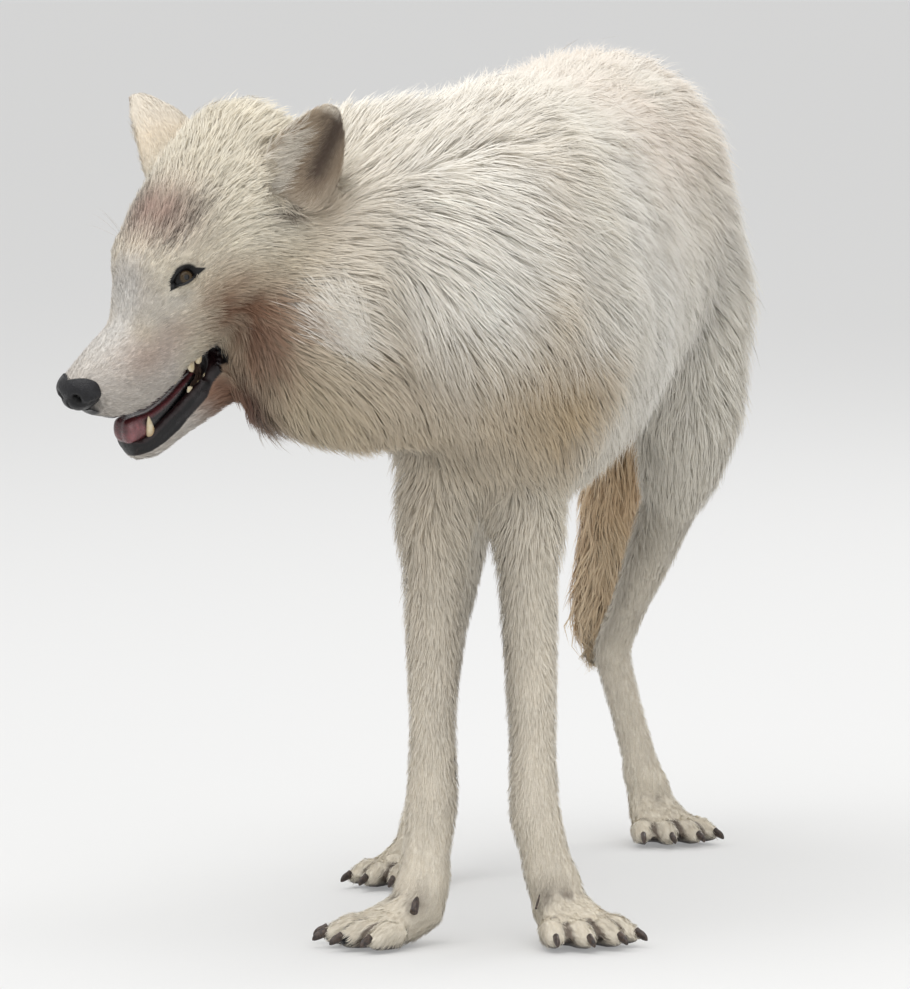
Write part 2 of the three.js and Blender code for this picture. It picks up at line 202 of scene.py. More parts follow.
HEAD_SIZE = 1.055
MM = HEAD_SIZE / 1000
EYE_AT = np.array([35.0, 138.0, 76.0])
NOSE_AT = np.array([0.0, 25.7, 21.5])  # the middle of the nose pad
JAW_HINGE = Vector((0, 196, 12))
JAW_OPEN = math.radians(20)
EYE_RADIUS = 12.0
EYEBALL_AT = EYE_AT + (2, 2, 3)  # the middle of the ball that the lids close round
EAR_AT = np.array([66.0, 250.0, 98.0])
EAR_LONG = 118.0
EARS_LIE = {  # the way each ear points, the way it opens, and its width
    "ear_left": (1, (0.47, 0.42, 0.79), (0.7, -0.6, 0.0), 1.06),
    "ear_right": (-1, (-0.76, 0.28, 0.58), (-0.6, -0.3, -0.65), 1.22),
}


def head_matrix():
    left, right = centre_of("eye_left"), centre_of("eye_right")
    nose = verts_of(NODES["nose"].data)
    nose = np.unique(nose.round(6), axis=0).mean(0)
    side = unit(left - right)
    seen = unit(nose - (left + right) / 2)
    meant = unit((NOSE_AT - EYE_AT) * (0, 1, 1))
    across = np.cross(side, seen)
    back = meant[1] * seen - meant[2] * across
    rise = np.cross(side, back)
    origin = (left + right) / 2 - (back * EYE_AT[1] + rise * EYE_AT[2]) * MM
    matrix = Matrix.Identity(4)
    for k, axis in enumerate((side, back, rise)):
        for row in range(3):
            matrix[row][k] = axis[row] * MM
    matrix.translation = origin
    return matrix


HEAD = head_matrix()
OPENING = Matrix.Translation(JAW_HINGE) @ Matrix.Rotation(JAW_OPEN, 4, "X") @ Matrix.Translation(-JAW_HINGE)
JAW = HEAD @ OPENING
INTO_HEAD = HEAD.inverted()
INTO_JAW = JAW.inverted()


def lip_edge(y):
    """Height of the upper lip's edge in the head's frame."""
    at = [16, 24, 40, 56, 73, 90, 105, 121, 135, 150, 160]
    return np.interp(y, at, [-4, -9, -17, -21.4, -23, -21.5, -18.3, -11.3, -7.6, -2.1, -2])


def lip_depth(y):
    """How far the black of the lower lip reaches down its side, in the jaw's frame."""
    at = [34, 46, 62, 79, 90, 103, 117, 130, 145, 158, 163, 170]
    return np.interp(y, at, [10, 15.2, 18.4, 19.5, 18, 17.4, 16.6, 13, 10, 1, -8, -20])


def lower_rim(y):
    """Height of the lower lip's edge in the jaw's frame."""
    return np.interp(y, [34, 38, 46, 57, 92, 129, 150, 168], [4, 6, 1.5, -1, -3, -2.4, 0, 2])


def pad_edge(x, z):
    """How far back the bare nose reaches at each place of the head's frame: least on top."""
    top = 13 + 14 * (np.abs(x) / 24).clip(0, 1) ** 1.3
    return mix(27.0, top, step(24, 33, z))


# ---- The skin ----
# The solids are the outer form of the coat. The skin is one closed surface round all the flesh, drawn in
# from them by the depth of the coat.

VOXEL = 0.003
SAME_PLACE = 1e-6
FINE_ROUNDS = 6  # of smoothing, over the border between the finely kept parts and the others
STEP_ROUNDS = 4  # that take off the steps of the voxels
BODY_ROUNDS = 26  # that take off the locks of the solids
FINE_SPARED = 0.97  # of those last ones
DEPTH_SOFT, OUTWARD_SOFT, MOVED_SOFT = 12, 3, 6  # rounds over the coat's depth, the normals, and the result
KEPT_FACES = 0.22  # of the body's
UPPER_TEETH_TO = 126.0
LOWER_TEETH_TO = 136.0
CHEEK_WEB = ((37, 181, -17), (13, 21, 19))  # the flesh that closes the mouth's corner: middle and half sizes

# Forms of the bare face in the head's frame: place, radius, and how far the skin rises there.
FACE_FORMS = [
    ((38, 134, 101), 11, 3.4),  # brow over the eye
    ((30, 112, 78), 10, -2.2),  # hollow before the inner corner
    ((66, 168, 58), 20, 3.0),  # cheekbone
    ((56, 150, 22), 18, -2.5),  # hollow under it
    ((0, 166, 134), 15, -3.0),  # furrow of the forehead
    ((0, 195, 148), 16, -2.0),
    ((34, 96, 34), 16, -2.0),  # side of the muzzle before the cheek
    ((30, 52, 6), 13, 1.6),  # whisker pad
    ((12, 62, 50), 12, 1.2),  # edge of the bridge
]


def without_teeth(node, co):
    """The head's or lower jaw's vertices with the teeth pressed flat into the jaw that they grow from."""
    if node == "head":
        local = apply(INTO_HEAD, co)
        under = lip_edge(local[:, 1])
        low = (local[:, 1] < UPPER_TEETH_TO) & (local[:, 2] < under)
        local[low, 2] = under[low]
        return apply(HEAD, local)
    if node == "lower_jaw":
        local = apply(INTO_JAW, co)
        high = (local[:, 1] < LOWER_TEETH_TO) & (local[:, 2] > 0)
        local[high, 2] = 0
        return apply(JAW, local)
    return co


def ball(middle, half, matrix):
    """A stretched ball: its vertices and triangles."""
    built = bmesh.new()
    bmesh.ops.create_icosphere(built, subdivisions=3, radius=1)
    co = np.array([v.co[:] for v in built.verts]) * half + middle
    tri = np.array([[v.index for v in f.verts] for f in built.faces])
    built.free()
    return apply(matrix, co), tri


def flesh_union():
    """All the solids of flesh as one closed surface of even small faces, filled where eyes and nose sit."""
    parts = []
    for node in FLESH + ["eye_left", "eye_right", "nose"]:
        mesh = NODES[node].data
        parts.append((without_teeth(node, verts_of(mesh)), triangles_of(mesh)))
    for side in SIDES:
        middle, half = (np.array(v, float) for v in CHEEK_WEB)
        parts.append(ball(middle * (side, 1, 1), half, HEAD))
    starts = np.cumsum([0] + [len(co) for co, _ in parts])
    verts = np.concatenate([co for co, _ in parts])
    faces = np.concatenate([tri + start for (_, tri), start in zip(parts, starts)])
    mesh = bpy.data.meshes.new("flesh")
    mesh.from_pydata(verts.tolist(), [], faces.tolist())
    with edited(mesh) as built:
        bmesh.ops.remove_doubles(built, verts=built.verts, dist=SAME_PLACE)
    ob = object_of("flesh", mesh)
    remesh = ob.modifiers.new("union", "REMESH")
    remesh.mode = "VOXEL"
    remesh.voxel_size = VOXEL
    return largest_body(evaluated(ob))


def largest_body(mesh):
    """The mesh less its crumbs: only the body that most of its vertices belong to stays."""
    web = Web(mesh)
    label = np.arange(web.count)
    while True:
        lower = label.copy()
        np.minimum.at(lower, web.a, label[web.b])
        lower = lower[lower]
        if (lower == label).all():
            break
        label = lower
    main = np.bincount(label).argmax()
    with edited(mesh) as built:
        built.verts.ensure_lookup_table()
        crumbs = [built.verts[k] for k in np.flatnonzero(label != main)]
        bmesh.ops.delete(built, geom=crumbs, context="VERTS")
    return mesh


def node_tree():
    """A tree that tells the solid nearest to a place, as a number in FLESH."""
    verts, faces, owner, count = [], [], [], 0
    for k, node in enumerate(FLESH):
        mesh = NODES[node].data
        tri = triangles_of(mesh)
        verts.append(verts_of(mesh))
        faces.append(tri + count)
        owner.append(np.full(len(tri), k))
        count += len(mesh.vertices)
    tree = BVHTree.FromPolygons(np.concatenate(verts).tolist(), np.concatenate(faces).tolist())
    return tree, np.concatenate(owner)


class Web:
    """The vertices of a mesh and the edges between them, for smoothing values over a surface."""

    def __init__(self, mesh):
        edges = np.empty(len(mesh.edges) * 2, np.int32)
        mesh.edges.foreach_get("vertices", edges)
        a, b = edges.reshape(-1, 2).T
        self.a, self.b = np.concatenate([a, b]), np.concatenate([b, a])
        self.count = len(mesh.vertices)
        self.degree = np.maximum(np.bincount(self.a, minlength=self.count), 1)

    def mean(self, values):
        flat = values.reshape(self.count, -1)
        total = [np.bincount(self.a, column[self.b], self.count) / self.degree for column in flat.T]
        return np.stack(total, 1).reshape(values.shape)

    def smooth(self, values, times, share=1.0):
        share = np.asarray(share)
        share = share[:, None] if share.ndim == 1 and values.ndim == 2 else share
        for _ in range(times):
            values = values + (self.mean(values) - values) * share
        return values


def normals_of(mesh):
    normal = np.empty(len(mesh.vertices) * 3, np.float32)
    mesh.vertex_normals.foreach_get("vector", normal)
    return normal.reshape(-1, 3).astype(float)


def write_verts(mesh, co):
    mesh.vertices.foreach_set("co", co.astype(np.float32).ravel())
    mesh.update()


def coat_depth(co, owner):
    """How deep the coat lies over each place of the skin, in metres."""
    head = apply(INTO_HEAD, co)
    side, back, high = np.abs(head[:, 0]), head[:, 1], head[:, 2]
    face = 0.0016 + 0.004 * step(112, 180, back) + 0.009 * step(180, 290, back)
    face += 0.006 * step(50, 85, side) * step(165, 230, back) * step(90, 20, high)
    height = co[:, 2]
    depth = {"head": face}
    depth["lower_jaw"] = 0.0016 + 0.009 * step(120, 200, back)
    depth["neck"] = 0.008 + 0.014 * step(170, 330, back)
    depth["trunk"] = np.full(len(co), 0.020)
    depth["tail"] = 0.012 + 0.008 * step(0.2, 0.3, height)
    for node in EARS:
        depth[node] = np.full(len(co), 0.0015)
    for leg, upper, lower, foot in zip(LEGS, UPPERS, LOWERS, FEET):
        bottom, top = (0.38, 0.50) if leg.startswith("front") else (0.42, 0.60)
        depth[upper] = 0.007 + 0.012 * step(bottom, top, height)
        depth[lower] = 0.0045 + 0.0025 * step(0.2, 0.40, height)
        depth[foot] = np.full(len(co), 0.0025)
    return np.choose(owner, [depth[node] for node in FLESH])


def sculpted(co, normal):
    """The skin's vertices with the forms of the bare face raised or sunk."""
    head = apply(INTO_HEAD, co)
    rise = np.zeros(len(co))
    for at, radius, lift in FACE_FORMS:
        for side in SIDES if at[0] else (1,):
            rise += lift * near(head, np.array(at) * (side, 1, 1), radius)
    jaw = apply(INTO_JAW, co)
    low = head[:, 2] < lip_edge(head[:, 1]) + 4
    chin = step(205, 165, jaw[:, 1]) * low * step(6, 12, np.abs(jaw[:, 0]))
    rise += chin * (1.3 * hump(jaw[:, 2], -7, 4) - 1.2 * hump(jaw[:, 2], -14, 3))
    under_pad = (head[:, 1] < 34) & (head[:, 2] > 3)
    rise -= 9 * under_pad * step(-2, -5, head[:, 1] - pad_edge(head[:, 0], head[:, 2]))
    return co + normal * rise[:, None] * MM


LIP_STATIONS = np.arange(22.0, 172.0, 6.0)
STATION_HALF = 5
LIP_GROWS = (-14, 20)


def drawn_out(co, mine, frame_of, into, rim_at, upward):
    """A lip's thin edge, which smoothing has drawn in, brought back out to its height in its jaw's frame."""
    local = apply(into, co)
    y, z = local[:, 1], local[:, 2] * upward
    wide = np.abs(local[:, 0])
    edge = []
    for at in LIP_STATIONS:
        there = mine & (np.abs(y - at) < STATION_HALF) & (z > -30)
        outer = there & (wide > 0.45 * wide[there].max()) if there.any() else there
        edge.append(z[outer].max() if outer.any() else rim_at(at) * upward)
    edge = np.interp(y, LIP_STATIONS, rounded(edge, [0.25, 0.5, 0.25]))
    grow = (rim_at(y) * upward - edge).clip(*LIP_GROWS)
    share = mine * step(-30, -3, z - edge) * step(14, 22, y) * step(178, 164, y)
    local[:, 2] += grow * share * upward
    return apply(frame_of, local)


def make_skin():
    """The skin's mesh, and the node that each of its vertices belongs to."""
    mesh = flesh_union()
    web = Web(mesh)
    co = verts_of(mesh)
    tree, of_face = node_tree()
    owner = of_face[[tree.find_nearest(p)[2] for p in co.tolist()]]
    fine = lies_on(owner, FINE).astype(float)
    fine = web.smooth(fine, FINE_ROUNDS)
    co = web.smooth(co, STEP_ROUNDS)
    co = web.smooth(co, BODY_ROUNDS, 1 - FINE_SPARED * fine)
    write_verts(mesh, co)
    depth = web.smooth(coat_depth(co, owner), DEPTH_SOFT)
    outward = unit(web.smooth(normals_of(mesh), OUTWARD_SOFT))
    moved = web.smooth(co - outward * depth[:, None], MOVED_SOFT, 1 - fine)
    moved = sculpted(moved, outward)
    for _ in range(2):
        moved = drawn_out(moved, lies_on(owner, ["head"]), HEAD, INTO_HEAD, lip_edge, -1)
        moved = drawn_out(moved, lies_on(owner, ["lower_jaw"]), JAW, INTO_JAW, lower_rim, 1)
    write_verts(mesh, moved)
    return thinned(mesh, moved, owner, fine)


def thinned(mesh, co, owner, fine):
    """The skin with larger faces on the body, and the owner of each vertex that is left."""
    ob = object_of("skin", mesh)
    group = ob.vertex_groups.new(name="body")
    group.add(np.flatnonzero(fine < 0.5).tolist(), 1.0, "REPLACE")
    thin = ob.modifiers.new("thin", "DECIMATE")
    thin.ratio = KEPT_FACES
    thin.vertex_group = "body"
    mesh = with_fine_face(evaluated(ob))
    old = KDTree(len(co))
    for k, place in enumerate(co.tolist()):
        old.insert(place, k)
    old.balance()
    kept = [old.find(place)[1] for place in verts_of(mesh).tolist()]
    write_verts(mesh, with_lids(verts_of(mesh)))
    return mesh, owner[kept]


# ---- Eyelids ----
# Round an eye, places are told by their direction from the eyeball's middle: millimetres of arc along the
# fissure, from the inner to the outer corner, and up across it.

INNER_CORNER = np.array([39.0, 121.5, 81.0])  # of the left eye, in the head's frame
OUTER_CORNER = np.array([54.0, 152.0, 87.5])
FISSURE_HALF = 15.0  # half its length, over the eyeball
FISSURE_UP = 6.4  # from its middle line to the upper lid's edge
FISSURE_DOWN = 4.2
LID = 1.1  # thickness of a lid's edge over the eyeball
LID_REACH = 26.0
LID_SKEW = 0.18  # how much rounder the upper lid is behind, and the lower one in front
LID_FOLDS = [  # height, place beyond the lid's edge, and width
    (0.8, 1.6, 1.3),  # the lids' roll
    (1.3, 5.6, 1.4),  # the fold above the eye
    (0.8, 4.8, 1.4),  # the one below it
]
LID_SLOPE = 0.13
EYE_SOCKET = 2.5  # how far under the eyeball's surface the skin lies in the fissure
LIDS_OFF_EYE = (8, -3, 6)  # from the eyeball's middle to that of the skin that the lids take up
EYE_DIVISIONS = ((24, 2), (19, 1))  # how far round that middle faces are divided, and into how many more


def eye_frame(side):
    """The eye's middle and its axes: along the fissure, up across it, and out."""
    mirror = np.array([side, 1, 1])
    middle = EYEBALL_AT * mirror
    out = unit((INNER_CORNER + OUTER_CORNER) / 2 * mirror - middle)
    along = (OUTER_CORNER - INNER_CORNER) * mirror
    along = unit(along - out * (out @ along))
    return middle, np.stack([along, np.cross(out, along) * side, out])


def fissure(local, side):
    """Distance from the eyeball's middle, places along and across the fissure, and how far beyond the lids'
    edges each lies, all in millimetres."""
    middle, axes = eye_frame(side)
    p = (local - middle) @ axes.T
    radius = np.linalg.norm(p, axis=1)
    arc = np.arccos((p[:, 2] / np.maximum(radius, 1e-6)).clip(-1, 1)) * EYE_RADIUS
    flat = p[:, :2] / np.maximum(np.linalg.norm(p[:, :2], axis=1, keepdims=True), 1e-6)
    along, across = (flat * arc[:, None]).T
    a = along / FISSURE_HALF
    arch = np.maximum(1 - np.abs(a) ** 2.1, 0)
    skew = 1 + LID_SKEW * a
    edge = np.where(across > 0, FISSURE_UP * arch * skew, FISSURE_DOWN * arch * (2 - skew))
    beyond = np.abs(across) - edge
    past = np.hypot((np.abs(a) - 1) * FISSURE_HALF, across)
    return radius, along, across, np.where(np.abs(a) > 1, past, beyond)


def by_the_mouth(place):
    """Whether a place is on the lips or between them."""
    head, jaw = INTO_HEAD @ place, INTO_JAW @ place
    if abs(head.x) > 52 or not 8 < head.y < 186:
        return False
    return -30 < jaw.z < 12 and jaw.y < 178 or head.z < lip_edge(head.y) + 9 and jaw.z > -30


def with_fine_face(mesh):
    """The skin with smaller faces at the lips, and still smaller ones round the eyes, where the lids are."""
    with edited(mesh) as built:

        def divide(faces, cuts):
            edges = list({e for f in faces for e in f.edges})
            bmesh.ops.subdivide_edges(built, edges=edges, cuts=cuts, use_grid_fill=True)

        def triangulate():
            bmesh.ops.triangulate(built, faces=[f for f in built.faces if len(f.verts) > 3])

        def within(reach, middle):
            return [f for f in built.faces if (INTO_HEAD @ f.calc_center_median() - middle).length < reach]

        divide([f for f in built.faces if by_the_mouth(f.calc_center_median())], 1)
        triangulate()
        for reach, cuts in EYE_DIVISIONS:
            for side in SIDES:
                divide(within(reach, Vector((EYEBALL_AT + LIDS_OFF_EYE) * (side, 1, 1))), cuts)
            triangulate()
    return mesh


def with_lids(co):
    """Wraps the skin round each eyeball, with a fissure between the lids and folds above and below it."""
    local = apply(INTO_HEAD, co)
    for side in SIDES:
        middle, _ = eye_frame(side)
        radius, _, across, beyond = fissure(local, side)
        roll, above, below = (tall * hump(beyond, at, wide) for tall, at, wide in LID_FOLDS)
        over = EYE_RADIUS + LID + LID_SLOPE * np.maximum(beyond, 0) ** 1.35
        over += roll
        over -= np.where(across > 0, above, below)
        sunk = np.full(len(radius), EYE_RADIUS - EYE_SOCKET)
        target = mix(sunk, over, step(-0.7, 0.3, beyond))
        share = step(13, 4, beyond) * step(24, 17, radius)
        grown = radius + (target - radius) * share
        local = middle + (local - middle) * (grown / np.maximum(radius, 1e-6))[:, None]
    return apply(HEAD, local)


# ---- Markings ----
# Colours are written as 0 to 255 sRGB. The skin and the coat are painted by the same function. Besides the
# markings it paints shade: in the ears' cups, at their bases and between the toes.


def rgb(r, g, b):
    c = np.array([r, g, b]) / 255
    return np.where(c < 0.04045, c / 12.92, ((c + 0.055) / 1.055) ** 2.4)


CREAM = rgb(238, 233, 221)
WHITE = rgb(244, 242, 236)
TAN = rgb(226, 210, 184)
ROSE_TAN = rgb(236, 224, 210)
OCHRE = rgb(204, 183, 150)
BELLY = rgb(220, 211, 193)
LEG_CREAM = rgb(241, 234, 220)
LEG_GREY = rgb(200, 193, 180)
FOOT_CREAM = rgb(236, 229, 214)
# painted shade in the hollows between the toes, and the dark brown round the dewclaws
TOE_BROWN_AND_SHADE = rgb(88, 70, 58)
RUST = rgb(218, 188, 150)
TAIL_TAN = rgb(236, 222, 197)
MUZZLE = rgb(204, 198, 191)
BRIDGE = rgb(216, 213, 208)
MUZZLE_ROSE = rgb(186, 164, 150)
UNDER_EYE = rgb(210, 205, 195)
CHEEK_TAN = rgb(213, 199, 174)
CHEEK_BROWN = rgb(140, 102, 78)
STAIN = rgb(100, 58, 42)
BROW = rgb(176, 148, 136)
BROW_DARK = rgb(80, 68, 60)
CROWN = rgb(231, 224, 207)
EAR_BACK = rgb(228, 220, 206)
EAR_FRONT = rgb(184, 166, 144)
# painted shade, in the ears' cups and at their bases
EAR_SHADE = rgb(100, 86, 76)
PAD = rgb(58, 50, 48)
LIP = rgb(15, 14, 16)
GUM = rgb(52, 26, 28)

TRUNK_LOW, TRUNK_HIGH = (np.array(c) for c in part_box("trunk"))
MIDDLE = (TRUNK_LOW + TRUNK_HIGH) / 2
WOOL = [  # the whitest places of the body: from its middle plane, back and up, and radius, in metres
    ((0.118, -0.159, 0.655), 0.045),
    ((0.105, 0.23, 0.60), 0.05),
    ((0.06, 0.36, 0.70), 0.08),
]
ALMOND_LONG = (20.0, 19.0)  # from the middle of the black skin round an eye to its outer and its inner end
ALMOND_TALL = (7.8, 5.8)  # up and down
ALMOND_BEND = (3.2, 4.6)  # how far its outer and inner ends lie below its middle
BLACK_RIM = 1.8  # millimetres of bare black skin round the eye's opening
SEAM_ROUNDS = 45  # of smoothing, that let the colours of two nodes run into each other
PALEST = 0.95


def marked(colour, p, marks):
    """Paints soft marks, each given as its colour, its strength, its place and its radius."""
    for paint_of, share, at, radius in marks:
        colour = mix(colour, paint_of, share * near(p, at, radius))
    return colour


def ear_places(node, head, normal):
    """On an ear: the share of the way to its tip, -1 to 1 from its front to its rear edge, and how squarely
    the surface looks out of the cup. Then the directions to the tip and to the rear edge."""
    side, pointing, opening, wide = EARS_LIE[node]
    along = unit(np.array(pointing))
    out = unit(np.array(opening) - along * (np.array(opening) @ along))
    across = np.cross(along, out) * side
    p = head - EAR_AT * (side, 1, 1)
    inner = (normal @ np.array(HEAD)[:3, :3] / MM) @ out
    return p @ along / EAR_LONG, p @ across / (40 * wide), inner, along, across


def face_colours(head):
    """The head: grey-white muzzle, pale streak under the eye, tan cheek, grizzled rosy brow."""
    p = folded(head)
    back, high = p[:, 1], p[:, 2]
    colour = np.tile(CROWN, (len(p), 1))
    colour = mix(colour, CHEEK_TAN, step(95, 60, high) * step(120, 160, back) * 0.75)
    muzzle = step(128, 96, back)
    colour = mix(colour, MUZZLE, muzzle)
    colour = mix(colour, BRIDGE, muzzle * step(34, 52, high) * step(24, 10, p[:, 0]))
    colour = marked(colour, p, [
        (MUZZLE_ROSE, 0.65, (34, 78, 28), (30, 26, 17)),
        (CHEEK_TAN, 0.5, (24, 92, 48), 14),
        (MUZZLE_ROSE, 0.5, (42, 112, 36), 20),
        (BROW, 0.9, (10, 156, 126), (32, 30, 28)),
    ])  # fmt: skip
    speckle = waves(p, 4.0, 31) * 0.5 + waves(p, 2.2, 32) * 0.5
    grizzle = near(p, (28, 147, 117), (18, 26, 20)) + 0.8 * near(p, (40, 173, 129), (18, 18, 14))
    colour = mix(colour, BROW_DARK, (0.9 * grizzle * step(-0.4, 0.6, speckle)).clip(0, 1))
    colour = mix(colour, BROW_DARK, 0.3 * step(0.1, 0.9, speckle) * near(p, (30, 192, 138), 34))
    colour = marked(colour, p, [
        (UNDER_EYE, 0.95, (39, 122, 64), (17, 17, 12)),
        (UNDER_EYE, 0.8, (27, 100, 60), 13),
        (EAR_FRONT, 0.6, (84, 262, 90), (20, 26, 24)),
    ])  # fmt: skip
    return mix(colour, WHITE, 0.6 * step(176, 188, high) * step(230, 260, back))


def cheek_marks(colour, p):
    """The brown cheek, with a darker middle, the pale lock behind it, and the rusty throat."""
    brown = near(p, (66, 162, 36), (34, 28, 38)) + 0.7 * near(p, (90, 190, 32), (24, 20, 22))
    brown += 0.5 * near(p, (102, 200, 16), (18, 16, 18)) + 0.8 * near(p, (76, 174, -12), (32, 22, 26))
    patchy = 0.85 + 0.2 * waves(p, 9, 33)
    colour = mix(colour, CHEEK_BROWN, (0.95 * brown * patchy).clip(0, 0.92))
    colour = mix(colour, STAIN, (0.55 * near(p, (74, 172, 16), (18, 14, 18)) * patchy).clip(0, 1))
    lock = near(p, (114, 226, 26), 18) + near(p, (124, 226, 0), 15) + near(p, (131, 230, -20), 11)
    colour = mix(colour, WHITE, (0.6 * lock).clip(0, 0.7))
    return marked(colour, p, [
        (STAIN, 0.85, (36, 184, -58), (28, 26, 26)),
        (STAIN, 0.5, (84, 170, -4), (20, 14, 20)),
        (STAIN, 0.85, (50, 162, -44), (28, 22, 28)),
    ])  # fmt: skip


def half_body(p):
    """Places of the body told from its middle plane, back and up."""
    return folded(p - (MIDDLE[0], 0, 0))


def body_colours(p, trunk=False):
    """Neck, trunk and thighs: white ruff, tan band behind it, ochre chest, rosy back, pale woolly flanks."""
    side, back, high = half_body(p).T
    blotch = waves(p, 0.10, 41)
    colour = mix(np.tile(CREAM, (len(p), 1)), WHITE, 0.35 + 0.3 * blotch)
    ruff = step(-0.31, -0.37, back) * step(0.56, 0.64, high)
    colour = mix(colour, WHITE, 0.85 * ruff)
    band = hump(side * 0.6 + back * 0.8, -0.268, 0.048) * step(0.50, 0.58, high) * step(-0.05, -0.2, back)
    patchy = 0.7 + 0.35 * waves(p, 0.05, 42)
    colour = mix(colour, TAN, (0.45 * band * patchy).clip(0, 1))
    rosy = step(0.63, 0.74, high + 0.02 * blotch) * step(-0.26, -0.06, back) * step(0.42, 0.25, back)
    colour = mix(colour, ROSE_TAN, (0.7 * rosy * patchy).clip(0, 1))
    chest = step(0.63, 0.55, high) * step(-0.24, -0.34, back)
    colour = mix(colour, OCHRE, (0.8 * chest * (0.85 + 0.25 * blotch)).clip(0, 1))
    if trunk:
        colour = mix(colour, BELLY, 0.7 * step(0.53, 0.46, high) * (1 - chest))
    return marked(colour, half_body(p), [(WHITE, 0.8, at, radius) for at, radius in WOOL])


def throat_colours(colour, head):
    """On the neck next to the head, the cheek's tan runs on into it."""
    p = folded(head)
    colour = mix(colour, CHEEK_TAN, step(250, 190, p[:, 1]) * step(110, 60, p[:, 2]))
    return marked(colour, p, [
        (EAR_FRONT, 0.5, (88, 284, 66), (16, 18, 18)),
        (CHEEK_BROWN, 0.6, (136, 262, -58), (22, 30, 30)),
    ])  # fmt: skip


def chin_colours(jaw):
    """Pale in front, brown under the mouth's corners."""
    colour = mix(np.tile(MUZZLE, (len(jaw), 1)), CHEEK_BROWN, 0.9 * step(84, 124, jaw[:, 1]))
    return mix(colour, STAIN, 0.7 * step(116, 150, jaw[:, 1]) * step(-12, -28, jaw[:, 2]))


def leg_colours(p, normal, leg):
    """Pale cream in front and outside, greyish inside."""
    colour = np.tile(LEG_CREAM, (len(p), 1))
    inside = -normal[:, 0] * (1 if leg.endswith("left") else -1)
    grey = step(-0.1, 0.8, inside) * step(0.1, 0.2, p[:, 2])
    colour = mix(colour, LEG_GREY, 0.75 * grey)
    return mix(colour, CREAM, 0.5 * step(0.42, 0.5, p[:, 2]))


def ear_colours(node, head, normal):
    """A pale back, and a cup of brownish hair with painted shade in it, darkest inside its rear edge."""
    share, across, inner, _, _ = ear_places(node, head, normal)
    ear = mix(np.tile(EAR_BACK, (len(head), 1)), TAN, 0.5 * hump(share, 0.35, 0.2))
    cup = step(0.1, 0.5, inner) * step(1.0, 0.72, np.abs(across)) * step(0.98, 0.8, share)
    # painted shade deep in the cup: inside its rear edge, and near its base by the front edge
    deep = hump(across, 0.3, 0.3) * step(0.12, 0.35, share)
    deep += 0.5 * hump(across, -0.5, 0.25) * step(0.5, 0.1, share)
    within = mix(np.tile(EAR_FRONT, (len(head), 1)), EAR_SHADE, deep.clip(0, 1))
    return mix(ear, within, cup * step(0.0, 0.12, share))


def tail_colours(p):
    """Tan, rusty over its middle, with a white tip."""
    high = p[:, 2]
    rust = step(0.56, 0.42, high) * step(0.2, 0.27, high) * (0.7 + 0.3 * waves(p, 0.05, 51))
    colour = mix(np.tile(TAIL_TAN, (len(p), 1)), RUST, rust)
    return mix(colour, WHITE, 0.6 * step(0.24, 0.17, high))


def foot_colours(colour, p, hollow, leg):
    """Painted shade, dark brown, in the hollows between the toes; and dark brown round the dewclaws that
    show.
    """
    foot = mix(np.tile(FOOT_CREAM, (len(p), 1)), TOE_BROWN_AND_SHADE, 0.85 * step(0.0001, 0.0007, hollow))
    colour = mix(colour, foot, step(0.10, 0.05, p[:, 2]))
    if leg.startswith("front"):
        colour = marked(colour, p, [(TOE_BROWN_AND_SHADE, 0.8, centre_of(f"dewclaw_{leg}"), 0.013)])
    return colour


def painted(co, owner, normal, hollow, web):
    """The colour of each place, and where the skin is bare."""
    head, jaw = apply(INTO_HEAD, co), apply(INTO_JAW, co)
    colour = body_colours(co)
    bare = np.zeros(len(co))
    for k, node in enumerate(FLESH):
        mine = owner == k
        h, p, n = head[mine], co[mine], normal[mine]
        if node == "trunk":
            colour[mine] = body_colours(p, True)
        elif node in FACE:
            colour[mine] = chin_colours(jaw[mine]) if node == "lower_jaw" else face_colours(h)
        elif node == "neck":
            colour[mine] = throat_colours(colour[mine], h)
        elif node in EARS:
            colour[mine] = ear_colours(node, h, n)
        elif node == "tail":
            colour[mine] = tail_colours(p)
        elif node in LOWERS or node in FEET:
            leg = node.replace("leg_", "").replace("foot_", "").replace("_lower", "")
            pad = step(0.010, 0.004, p[:, 2]) * (n[:, 2] < -0.4)
            shank = foot_colours(leg_colours(p, n, leg), p, hollow[mine], leg)
            colour[mine], bare[mine] = mix(shank, PAD, pad), pad
    seam = np.bincount(web.a, owner[web.a] != owner[web.b], web.count) > 0
    colour = web.smooth(colour, SEAM_ROUNDS, step(0.01, 0.08, web.smooth(seam.astype(float), 30)))
    half = folded(head)
    cheek = lies_on(owner, ["head", "neck"]) & (half[:, 1] < 320)
    colour[cheek] = cheek_marks(colour[cheek], half[cheek])
    # painted shade in the crease at each ear's base
    ear_base_shade = near(half, (76, 234, 104), (8, 15, 9))
    colour = mix(colour, EAR_SHADE, 0.95 * ear_base_shade * (half[:, 1] > 150))
    uneven = waves(co, 0.03, 61) * 0.025 + waves(co, 0.011, 62) * 0.02
    colour = (colour * (1 + uneven)[:, None]).clip(0.001, PALEST)
    return with_lips(*with_rims(colour, bare, head), head, jaw, normal)


